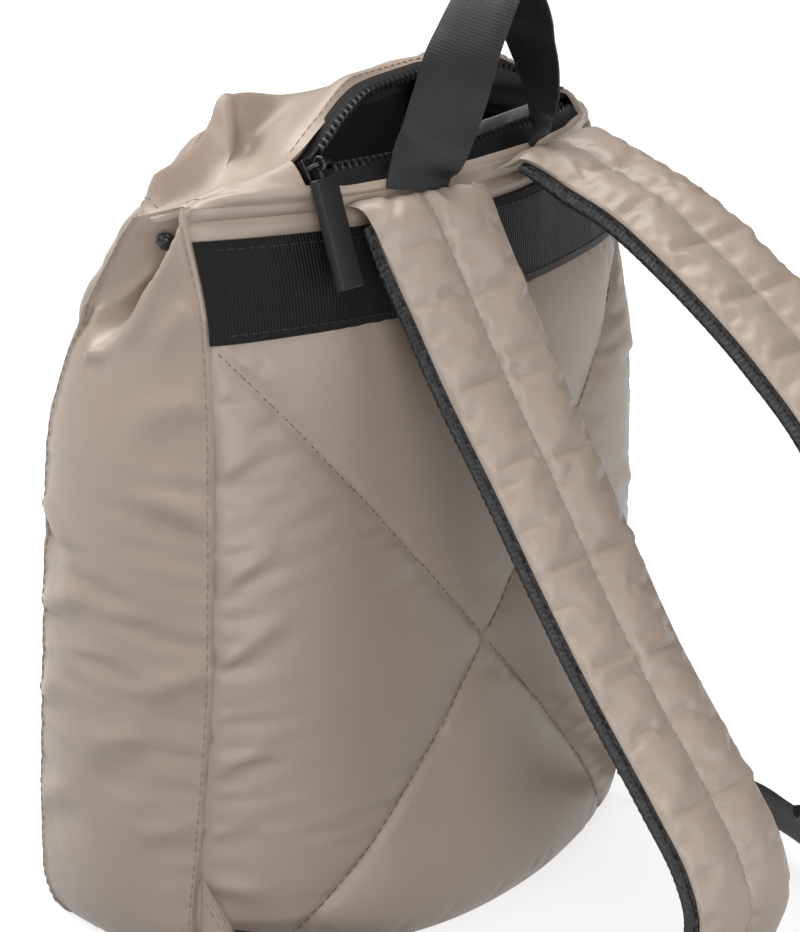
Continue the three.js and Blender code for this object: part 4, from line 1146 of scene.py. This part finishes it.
# Paths through the rows of a table, as a centripetal spline
def spline(points, at):
    points = np.asarray(points, float)
    ext = np.concatenate([[2 * points[0] - points[1]], points, [2 * points[-1] - points[-2]]])
    i = np.clip(np.floor(at).astype(int), 0, len(points) - 2)
    w = (at - i)[:, None]
    p0, p1, p2, p3 = (ext[i + n] for n in range(4))

    def knot(a, b):
        return np.maximum(np.linalg.norm(b - a, axis=-1, keepdims=True) ** 0.5, 1e-4)

    d0, d1, d2 = knot(p0, p1), knot(p1, p2), knot(p2, p3)
    m1 = ((p1 - p0) / d0 - (p2 - p0) / (d0 + d1) + (p2 - p1) / d1) * d1
    m2 = ((p2 - p1) / d1 - (p3 - p1) / (d1 + d2) + (p3 - p2) / d2) * d1
    c2 = -3 * p1 + 3 * p2 - 2 * m1 - m2
    c3 = 2 * p1 - 2 * p2 + m1 + m2
    return p1 + m1 * w + c2 * w ** 2 + c3 * w ** 3


class Path:
    """Evenly spaced frames along a table's rows: place, width direction and face direction."""

    def __init__(self, table, spacing, width_at):
        points = table.rows[:, :3]
        dense = np.linspace(0, len(points) - 1, 4000)
        run = lengths(spline(points, dense)[:, None], 0)[:, 0]
        count = 2 * int(run[-1] / spacing / 2) + 1
        self.run = np.linspace(0, run[-1], count)
        self.row = np.interp(self.run, run, dense)
        self.place = spline(points, self.row)
        self.along = unit(np.gradient(self.place, axis=0))
        width = width_at(self.row, self.along)
        self.width = unit(width - self.along * np.sum(width * self.along, axis=1, keepdims=True))
        self.face = np.cross(self.width, self.along)

    def points(self, across, down):
        """Points at offsets across the width and down from the face; arrays of frames by points."""
        place = self.place[:, None]
        return place + self.width[:, None] * across[..., None] - self.face[:, None] * down[..., None]


def turned_width(table, sign):
    def width_at(row, along):
        turn = np.radians(table.row_value(row, "turn"))
        return sign * np.stack([np.cos(turn), np.sin(turn), 0 * turn], axis=-1)
    return width_at


def leaning_width(table, side, strap):
    """Width that leans as the table says, and turns with the strap's end from the last own row on."""
    def width_at(row, along):
        lean = np.radians(table.row_value(row, "lean"))
        level = side * unit(np.stack([along[:, 1], -along[:, 0], 0 * lean], axis=-1))
        upright = np.stack([0 * lean, 0 * lean, np.cos(lean)], axis=-1)
        in_slide = smooth(row - (len(table.rows) - 1 - len(WEAVE)))[:, None]
        leaning = upright + level * np.sin(lean)[:, None]
        return leaning * (1 - in_slide) + side * strap.width[-1] * in_slide
    return width_at


def woven_table(table, strap, pad):
    """The rows of a narrow webbing, carried on through the slide at the strap's end."""
    middle = strap.place[-1] - strap.face[-1] * pad / 2 + strap.along[-1] * SLIDE_LENGTH / 2
    woven = [middle + strap.along[-1] * along + strap.face[-1] * out for along, out in WEAVE]
    return Table("x y z lean", [*table.rows, *([*place, 90] for place in woven)])


RIB_PITCH = 1.2
RIB_DEPTH = 0.1
RIBBON_COLUMNS = 9


def ribbon(name, path, width, thickness, material):
    """Webbing with ribs across its width and rounded edges."""
    half = width / 2
    one_way = np.linspace(-half, half, RIBBON_COLUMNS)
    places = np.concatenate([one_way, one_way[::-1]])
    faces = np.repeat([1, -1], RIBBON_COLUMNS)
    edge = np.sqrt(np.maximum(1 - (np.abs(places) / half) ** 10, 0.12))
    rib = RIB_DEPTH * np.cos(2 * math.pi * path.run / RIB_PITCH)[:, None]
    down = -(thickness / 2 * edge + rib) * faces
    across = np.broadcast_to(places, down.shape)
    piece = loft(name, path.points(across, down), [material])
    return piece


# Handle
handle_path = Path(HANDLE, RIB_PITCH / 4, turned_width(HANDLE, 1))
handle = ribbon("handle_loop", handle_path, HANDLE_WIDTH, HANDLE_THICKNESS, RIBBED)
rides(handle, "webbing", "handle")

# Shoulder straps: a crowned cover with a sunk centre seam over a block of spacer mesh
STRAP_STEP = 1.6
HALF_STRAP = STRAP_WIDTH / 2
EDGE_DROP = 0.55
SEAM_DROP = 0.2
STRAP_COLUMNS = 45
STRAP_CENTRE = STRAP_COLUMNS // 2
CROWN_POWER = 2.4
UNDER_COLUMNS = 11
UNDER_SHARE = 0.985
EDGE_OUT = 0.3
EDGE_DEPTH = 0.8
SEAM_DEPTH = 1.0
SEAM_WIDTH = 1.2
FLARE = 0.12
FLARE_RUN = 9
SPACER_COLUMNS = 37
SPACER_GAP = 0.2
SPACER_START = 0.035
SPACER_END = 0.96
STITCHED = slice(4, -4)
KNIT_PITCH = 3.4
KNIT_DEPTH = 0.25
KNIT_BULGE = 0.008
STRAP_ENDS = {}
for name, table, seed in (("left", LEFT_STRAP, 100), ("right", RIGHT_STRAP, 140)):
    path = Path(table, STRAP_STEP, turned_width(table, -1))
    pad = table.row_value(path.row, "pad")[:, None]
    STRAP_ENDS[name] = (path, pad[-1, 0])
    full = pad / FULL_PAD
    spread = np.linspace(-1, 1, STRAP_COLUMNS)[None]
    crown = 1 - np.abs(2 * np.abs(spread) - 1) ** CROWN_POWER
    drop = np.where(np.abs(spread) > 0.5, EDGE_DROP, SEAM_DROP) * pad * (1 - crown)
    flare = 1 + FLARE * np.exp(-path.run[:, None] / FLARE_RUN)
    across = spread * HALF_STRAP * flare
    coarse = path.points(across, drop)[::2, ::2]
    held = edges_held(coarse)
    held[:, STRAP_CENTRE // 2] = True
    facing = np.broadcast_to(path.face[::2, None], coarse.shape)
    top = refined(draped(coarse, facing, held, slack=0.05, pressure=3, stiffness=0.3, most=3.0))
    run = path.run[:, None]
    off_seam = np.abs(spread) * HALF_STRAP
    off_edge = (1 - np.abs(spread)) * HALF_STRAP
    half_shift = 300 * (spread > 0)
    fold = 0.5 * puckers(run + half_shift, off_seam, pitch=7, reach=7, seed=seed)
    fold = fold + 0.5 * puckers(run + 2 * half_shift, off_edge, pitch=7, reach=6, seed=seed + 3)
    fold = fold * smooth(off_seam / 2.5) * smooth(off_edge / 1.5)
    fold = (fold - SEAM_DEPTH * hump(off_seam / SEAM_WIDTH)) * full
    top = top + path.face[:, None] * fold[..., None]
    depth = np.repeat(pad, UNDER_COLUMNS, axis=1)
    bottom = path.points(UNDER_SHARE * HALF_STRAP * np.linspace(1, -1, UNDER_COLUMNS) + 0 * depth, depth)
    right_edge = path.points(np.full_like(pad, HALF_STRAP + EDGE_OUT), EDGE_DEPTH * pad)
    left_edge = path.points(np.full_like(pad, -HALF_STRAP - EDGE_OUT), EDGE_DEPTH * pad)
    sections = np.concatenate([top, right_edge, bottom, left_edge], axis=1)
    cover = loft(f"strap_cover_{name}", sections, [STRAP_TAUPE])
    rides(cover, "strap_cloth", f"strap_pad_{name}")
    seam = (top[STITCHED, STRAP_CENTRE], path.face[STITCHED])
    rides(stitch_rows(f"strap_stitches_{name}", [seam], THREAD), "strap_cloth")
    keep = slice(int(SPACER_START * len(pad)), int(SPACER_END * len(pad)))
    high = pad + SPACER_GAP
    low = high + SPACER_THICKNESS * full ** 1.5
    one_way = np.linspace(-1, 1, SPACER_COLUMNS)
    spread = np.concatenate([one_way, one_way[::-1]])[None]
    is_under = (np.arange(2 * SPACER_COLUMNS) >= SPACER_COLUMNS)[None]
    rim = np.sqrt(np.maximum(1 - np.abs(spread) ** 14, 0.1))
    loops = np.cos(2 * math.pi * run / KNIT_PITCH)
    knit = KNIT_DEPTH * loops * np.cos(2 * math.pi * spread * HALF_STRAP / KNIT_PITCH)
    middle = 0.5 * (high + low)
    down = np.where(is_under, middle + (low - middle) * rim - knit, middle - (middle - high) * rim)
    across = spread * (1 + KNIT_BULGE * loops) * SPACER_WIDTH / 2
    spacer = loft(f"strap_spacer_{name}", path.points(across, down)[keep], [SPACER])
    rides(spacer, "spacer_mesh", f"strap_mesh_{name}")

# Narrow webbing, corner tabs and strap slides
TAB_ROWS = 9
TAB_COLUMNS = 13
TAB_STITCHES = (9.2, 11.0)
SLIDE_BEVEL = 0.0006
for name, side, table in (("left", -1, LEFT_WEBBING), ("right", 1, RIGHT_WEBBING)):
    strap, pad = STRAP_ENDS[name]
    woven = woven_table(table, strap, pad)
    path = Path(woven, RIB_PITCH / 4, leaning_width(woven, side, strap))
    webbing = ribbon(f"strap_tail_{name}", path, WEBBING_WIDTH, WEBBING_THICKNESS, RIBBED)
    rides(webbing, "webbing", f"strap_webbing_{name}")
    out = np.array([-side * TAB_DIRECTION[0], TAB_DIRECTION[1], 0])
    sideways = np.array([-out[1], out[0], 0])

    def tab_point(corner, face):
        z, seam, along = (TAB.at(corner, column) for column in ("z", "seam", "along"))
        seam_place = back_points([side], [seam / REAR_SEAM_HEIGHT])[0, 0]
        thick = TAB_SEAM_THICKNESS + (TAB_THICKNESS - TAB_SEAM_THICKNESS) * along / TAB_LENGTH
        place = seam_place + out * (TAB_CLEARANCE + along) + sideways * (face * thick / 2)
        return np.array([place[0], place[1], z])

    def tab_grid(face):
        share = np.linspace(0, 1, TAB_ROWS)[:, None]
        low = tab_point(0, face) * (1 - share) + tab_point(1, face) * share
        high = tab_point(3, face) * (1 - share) + tab_point(2, face) * share
        rise = np.linspace(0, 1, TAB_COLUMNS)[None, :, None]
        return low[:, None] * (1 - rise) + high[:, None] * rise

    grids = [tab_grid(-1), tab_grid(1)]
    tab = shell(f"corner_cloth_{name}", grids[1], grids[0], [TAUPE])
    rides(tab, "shell_cloth", f"corner_tab_{name}")
    rows = []
    for face, grid in zip((-1, 1), grids):
        run = np.linspace(0.4, 7.6, 20)
        normal = np.broadcast_to(sideways * face, (len(run), 3))
        for column in TAB_STITCHES:
            rows.append((on_grid(grid, run, np.full(len(run), column)), normal))
    rides(stitch_rows(f"corner_stitches_{name}", rows, THREAD), "shell_cloth")
    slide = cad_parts[f"strap_adjuster_{name}"]
    slide.data.materials.clear()
    slide.data.materials.append(PLASTIC)
    bevel = slide.modifiers.new("edges", "BEVEL")
    bevel.width = SLIDE_BEVEL
    bevel.segments = 3

# Zip: a tape on each side of the mouth with its row of moulded teeth
TAPE_PROFILE = [
    (0, -1.2, 0.5), (0.3, 0, 0.55), (1, -2.4, 0.6), (1, -1.2, 1.05), (1, -0.4, 0.7),
    (1, -0.4, -0.7), (1, -1.2, -1.05), (1, -2.4, -0.6), (0.3, 0, -0.55), (0, -1.2, -0.5),
]
TOOTH_OUTLINE = np.array([
    (-1.6, -0.6), (0.4, -0.6), (0.7, -0.85), (1.4, -0.85), (1.6, -0.6),
    (1.6, 0.6), (1.4, 0.85), (0.7, 0.85), (0.4, 0.6), (-1.6, 0.6),
])
TOOTH_EDGE = 40
TOOTH_LAYERS = [(-1.35, 0.8), (-1.1, 1.0), (1.1, 1.0), (1.35, 0.8)]
TOP_HALF = float(LEVELS.at(1.0, "left"))


def zip_lines(edge, sewn, us):
    """Sewn edge and tooth line of a tape, with the directions across it and out of it."""
    seam = np.array([top_line(a, np.array([sewn, 10.0]))[0] for a in us])
    seam[:, 0] = us * TOP_HALF
    place = np.abs(us)
    teeth = np.stack([us * TOP_HALF, TEETH.at(place, edge + "Y"), TEETH.at(place, edge + "Z")], axis=-1)
    if edge == "front":
        sink = TAPE_SINK * smooth((TAPE_BEND - us) / TAPE_BEND_RUN)
        seam[:, 2] -= sink
        teeth[:, 2] -= sink
    across = unit(teeth - seam)
    closing = smooth((TAPE_END + 0.005 - place) / 0.05)[:, None]
    teeth = seam + (teeth - seam) * closing
    return seam, teeth, across, np.cross([1.0, 0, 0], across)


def zip_side(edge, sewn):
    tape_us = np.linspace(-TAPE_END, TAPE_END, 181)
    seam, teeth, across, lift = zip_lines(edge, sewn, tape_us)
    from_end = (TAPE_END - np.abs(tape_us))[:, None]
    thin = 0.35 + 0.65 * smooth(from_end / 0.12)
    loops = [
        seam + (teeth - seam) * share + (across * shift + lift * rise) * thin
        for share, shift, rise in TAPE_PROFILE
    ]
    tape = loft(f"zip_tape_{edge}", np.stack(loops, axis=1), [TAPE])
    rides(tape, "zip_teeth", f"zip_{edge}")
    tooth_us = np.linspace(TEETH_LEFT_END, TEETH_RIGHT_END, 400)
    run = lengths(zip_lines(edge, sewn, tooth_us)[1][:, None], 0)[:, 0]
    count = int(run[-1] / TOOTH_PITCH)
    tooth_us = np.interp(np.linspace(0, run[-1], count), run, tooth_us)
    seam, teeth, across, lift = zip_lines(edge, sewn, tooth_us)
    along = unit(np.gradient(teeth, axis=0))
    vertices = []
    faces = []
    for n in range(count):
        first = len(vertices)
        for rise, share in TOOTH_LAYERS:
            for reach, beside in TOOTH_OUTLINE * share:
                vertices.append(teeth[n] + across[n] * reach + along[n] * beside + lift[n] * rise)
        faces += ring_faces(len(TOOTH_LAYERS), len(TOOTH_OUTLINE), first)
    row = new_object(f"zip_row_{edge}", vertices, outward(vertices, faces), [TOOTH], TOOTH_EDGE)
    set_pattern(row, np.asarray(vertices)[:, :2])
    rides(row, "zip_teeth")


zip_side("rear", REAR_ZIP_STEP)
zip_side("front", FRONT_ZIP_STEP)

# Pale facing that shows inside the right half of the mouth, behind the rear teeth
FACING_FROM = 0.1
FACING_TO = 0.57
FACING_BEHIND = 5
FACING_RISE = 3.5
FACING_DEPTH = 11
seam, teeth, across, lift = zip_lines("rear", REAR_ZIP_STEP, np.linspace(FACING_FROM, FACING_TO, 60))
fall = np.linspace(0, 1, 9)[None, :, None]
start = teeth + (0, FACING_BEHIND, FACING_RISE)
hang = start + (0, 1.5, -FACING_DEPTH)
FACING_GRID = start[:, None] * (1 - fall) + hang[:, None] * fall
FACING_GRID[..., 1] += 0.5 * noise(FACING_GRID[..., 0] / 9, FACING_GRID[..., 2] / 9, seed=91)
facing = shell("mouth_facing", FACING_GRID, FACING_GRID + (0, 0.8, 0), [FACING])
rides(facing, "lining_cloth")


# Hard pieces from rounded blocks and wires
def rounded_box(size, bevel, place=(0, 0, 0), segments=3):
    made = bmesh.new()
    bmesh.ops.create_cube(made, size=1.0, matrix=Matrix.Diagonal((*size, 1)))
    bmesh.ops.bevel(made, geom=made.edges[:], offset=bevel, segments=segments, affect="EDGES", profile=0.5)
    made.verts.index_update()
    vertices = np.array([v.co for v in made.verts]) + place
    faces = [[v.index for v in f.verts] for f in made.faces]
    made.free()
    return vertices, faces


def tube(points, radius, sides=10):
    """Wire in the plane across y."""
    points = np.asarray(points, float)
    along = unit(np.gradient(points, axis=0))
    across = unit(np.cross(along, [0.0, 1.0, 0.0]))
    other = np.cross(along, across)
    angle = np.linspace(0, 2 * math.pi, sides, endpoint=False)[None, :, None]
    ring = points[:, None] + radius * (np.cos(angle) * across[:, None] + np.sin(angle) * other[:, None])
    ring = ring.reshape(-1, 3)
    return ring, outward(ring, ring_faces(len(points), sides))


def wire_ring(radius, wire, turns=32, sides=10):
    """Ring about the x axis."""
    turn, angle = np.meshgrid(
        np.linspace(0, 2 * math.pi, turns, endpoint=False),
        np.linspace(0, 2 * math.pi, sides, endpoint=False), indexing="ij")
    reach = radius + wire * np.cos(angle)
    points = np.stack([wire * np.sin(angle), reach * np.cos(turn), reach * np.sin(turn)], axis=-1)
    points = points.reshape(-1, 3)
    at = np.arange(turns * sides).reshape(turns, sides)
    ahead = np.roll(at, -1, axis=0)
    faces = np.stack([at, np.roll(at, -1, axis=1), np.roll(ahead, -1, axis=1), ahead], axis=-1)
    return points, outward(points, faces.reshape(-1, 4).tolist())


HARD_EDGE = 40


def hard_piece(name, parts, axes, place, material):
    """One piece of several blocks and wires, turned to its axes."""
    vertices = []
    faces = []
    for points, sides in parts:
        faces += [[len(vertices) + i for i in face] for face in sides]
        vertices += list(points)
    points = np.array(vertices)
    piece = new_object(name, place + points @ np.array(axes), faces, [material], HARD_EDGE)
    set_pattern(piece, points[:, :2])
    return piece


# Slider: two plates, a nose between them and a bridge; a ring and a bar hang from the bridge
X_AXIS = np.array([1.0, 0, 0])
BRIDGE_LINE = [
    (-4.5, 0, 1.4), (-4.5, 0, 4.2), (-4.0, 0, 5.4), (-2.8, 0, 6.0), (0, 0, 6.1),
    (2.8, 0, 6.0), (4.0, 0, 5.4), (4.5, 0, 4.2), (4.5, 0, 1.4),
]
slider_parts = [
    rounded_box((11, 7.6, 1.4), 0.5, (0, 0, 1.35)),
    rounded_box((10.4, 7.2, 1.2), 0.45, (0, 0, -1.4)),
    rounded_box((3.4, 3.0, 3.0), 0.3),
    rounded_box((2.8, 7.2, 4.0), 0.6, (-4.1, 0, 0)),
    tube(BRIDGE_LINE, 0.9),
]
slider = hard_piece("slider_body", slider_parts, (X_AXIS, SLIDER_ACROSS, SLIDER_OUT), SLIDER, METAL)
rides(slider, "dark_metal", "zip_slider")
down = np.array([0, -math.sin(PULLER_HANG), -math.cos(PULLER_HANG)])
puller_axes = (X_AXIS, down, np.cross(X_AXIS, down))
ring_parts = [wire_ring(2.2, 0.75), rounded_box((2.4, 3.6, 1.7), 0.4, (0, 3.9, 0))]
ring = hard_piece("puller_ring", ring_parts, puller_axes, PIVOT, METAL)
rides(ring, "dark_metal", body=PULLER)
bar_middle = (0, PULLER_START + PULLER_LENGTH / 2, 0)
bar_box = rounded_box((PULLER_WIDTH, PULLER_LENGTH, PULLER_THICKNESS), 0.8, bar_middle)
bar = hard_piece("puller_bar", [bar_box], puller_axes, PIVOT, RUBBER)
rides(bar, "rubber", "zip_puller", body=PULLER)

# Snap caps: turned about the fold's outward direction
for side, name in ((-1, "left"), (1, "right")):
    near = side_points(side, SNAP_PLACES, SNAP_LEVELS)
    first = unit(near[2, 1] - near[0, 1])
    out = side * unit(np.cross(first, near[1, 2] - near[1, 0]))
    second = np.cross(out, first)
    angle = np.linspace(0, 2 * math.pi, 32, endpoint=False)[:, None]
    spokes = np.cos(angle) * first + np.sin(angle) * second
    sections = [near[1, 1] + out * (SNAP_CLEARANCE + rise) + radius * spokes for radius, rise in SNAP_PROFILE]
    rides(loft(f"snap_cap_{name}", sections, [METAL], HARD_EDGE), "dark_metal", f"side_snap_{name}")

# Topstitching of the shell
QUILT_STITCHES = ((-0.82, -0.02), (0.02, 0.98))
rows = []
normals = grid_normals(BACK)
for sign in (-1, 1):
    for low, high in QUILT_STITCHES:
        a = np.linspace(low, high, 160)
        i = (sign * a + 1) / 2 * (len(us) - 1)
        j = (QUILT_CROSSING + QUILT_SLOPE * a) / REAR_SEAM_HEIGHT * (len(levels) - 1)
        rows.append(seam_line(BACK, normals, i, j))
# The quilting stitches take the darkened thread, painted shade of the quilting grooves
rides(stitch_rows("quilt_stitches", rows, QUILT_THREAD_PAINTED_SHADE), "shell_cloth")

rows = []
for side in (-1, 1):
    points = SIDES[side]
    normals = grid_normals(points)
    j = np.arange(3, len(levels) - 3)
    for end in (0, 1):
        away = from_edge(points, 0, end)
        order = np.arange(len(away)) if end == 0 else np.arange(len(away))[::-1]
        i = np.array([np.interp(SIDE_STITCH_INSET, away[order, b], order) for b in j])
        rows.append(seam_line(points, normals, i, j))
rides(stitch_rows("side_stitches", rows, THREAD), "shell_cloth")

MOUTH_STITCH_REACH = 0.66
MOUTH_STITCH_STEP = 3.6
SIDE_TOP_STITCH = 0.955
lines = [(np.linspace(-MOUTH_STITCH_REACH, MOUTH_STITCH_REACH, 300), np.full(300, MOUTH_STITCH_STEP))]
for side in (-1, 1):
    lines.append((np.full(120, side * SIDE_TOP_STITCH), np.linspace(1, 9.6, 120)))
rows = []
normals = grid_normals(TOP_SKIN, TOP_MIDDLE)
for across, steps in lines:
    i = (across + 1) / 2 * (len(top_us) - 1)
    j = np.interp(steps, top_ks, np.arange(len(top_ks)))
    rows.append(seam_line(TOP_SKIN, normals, i, j))
rides(stitch_rows("top_stitches", rows, THREAD), "shell_cloth")

BAND_STITCHES = (0.09, 0.91)
rows = []
normals = grid_normals(BAND)
for share in BAND_STITCHES:
    i = np.linspace(8, len(band_us) - 9, 400)
    j = np.full(400, share * (len(band_levels) - 1))
    rows.append(seam_line(BAND, normals, i, j))
rides(stitch_rows("band_stitches", rows, DARK_THREAD), "webbing")


# Floor and soft studio light
FLOOR_REACH = 8.0
WORLD_LIGHT = 0.05


def make_floor():
    look = Look("floor_paper", (0.3, 0.3, 0.3), 0.9)
    look.tint(look.noise(3, 2), 0.995, 1.005)
    look.set("Emission Color", (1, 1, 1, 1))
    away = look.node("ShaderNodeVectorMath", operation="LENGTH")
    look.link(look.solid(), away.inputs[0])
    glow = look.range(away.outputs["Value"], 0.77, 1.0, start=0.2, end=0.9)
    look.link(glow, look.shader.inputs["Emission Strength"])
    mesh = bpy.data.meshes.new("floor")
    corners = [(x * FLOOR_REACH, y * FLOOR_REACH, 0) for x, y in ((-1, -1), (1, -1), (1, 1), (-1, 1))]
    mesh.from_pydata(corners, [], [[0, 1, 2, 3]])
    mesh.materials.append(look.material)
    floor = bpy.data.objects.new("floor", mesh)
    bpy.context.scene.collection.objects.link(floor)
    floor.visible_diffuse = False


def add_light(name, place, target, size, power):
    data = bpy.data.lights.new(name, "AREA")
    data.shape = "RECTANGLE"
    data.size, data.size_y = size
    data.energy = power
    aimed(name, data, place, Vector(target) - Vector(place))


make_floor()
BAG_CENTRE = (0, -0.05, 0.15)
add_light("left", (-1.6, 0.3, 1.1), BAG_CENTRE, (1.0, 1.3), 6)
add_light("key", (-1.3, -1.2, 1.3), BAG_CENTRE, (1.0, 1.2), 17)
add_light("front", (0.4, -1.8, 0.7), BAG_CENTRE, (1.2, 1.0), 9)
add_light("top", (0.2, 0.3, 2.0), BAG_CENTRE, (1.4, 1.4), 26)
add_light("behind", (-0.6, 1.2, 1.5), BAG_CENTRE, (1.2, 1.2), 34)
add_light("low", (-0.8, -1.1, 0.14), (0, -0.05, 0.06), (0.9, 0.25), 5)
world = bpy.data.worlds.new("studio")
world.use_nodes = True
background = world.node_tree.nodes["Background"]
background.inputs["Color"].default_value = (1, 1, 1, 1)
background.inputs["Strength"].default_value = WORLD_LIGHT
bpy.context.scene.world = world
bpy.context.scene.view_settings.view_transform = "Standard"
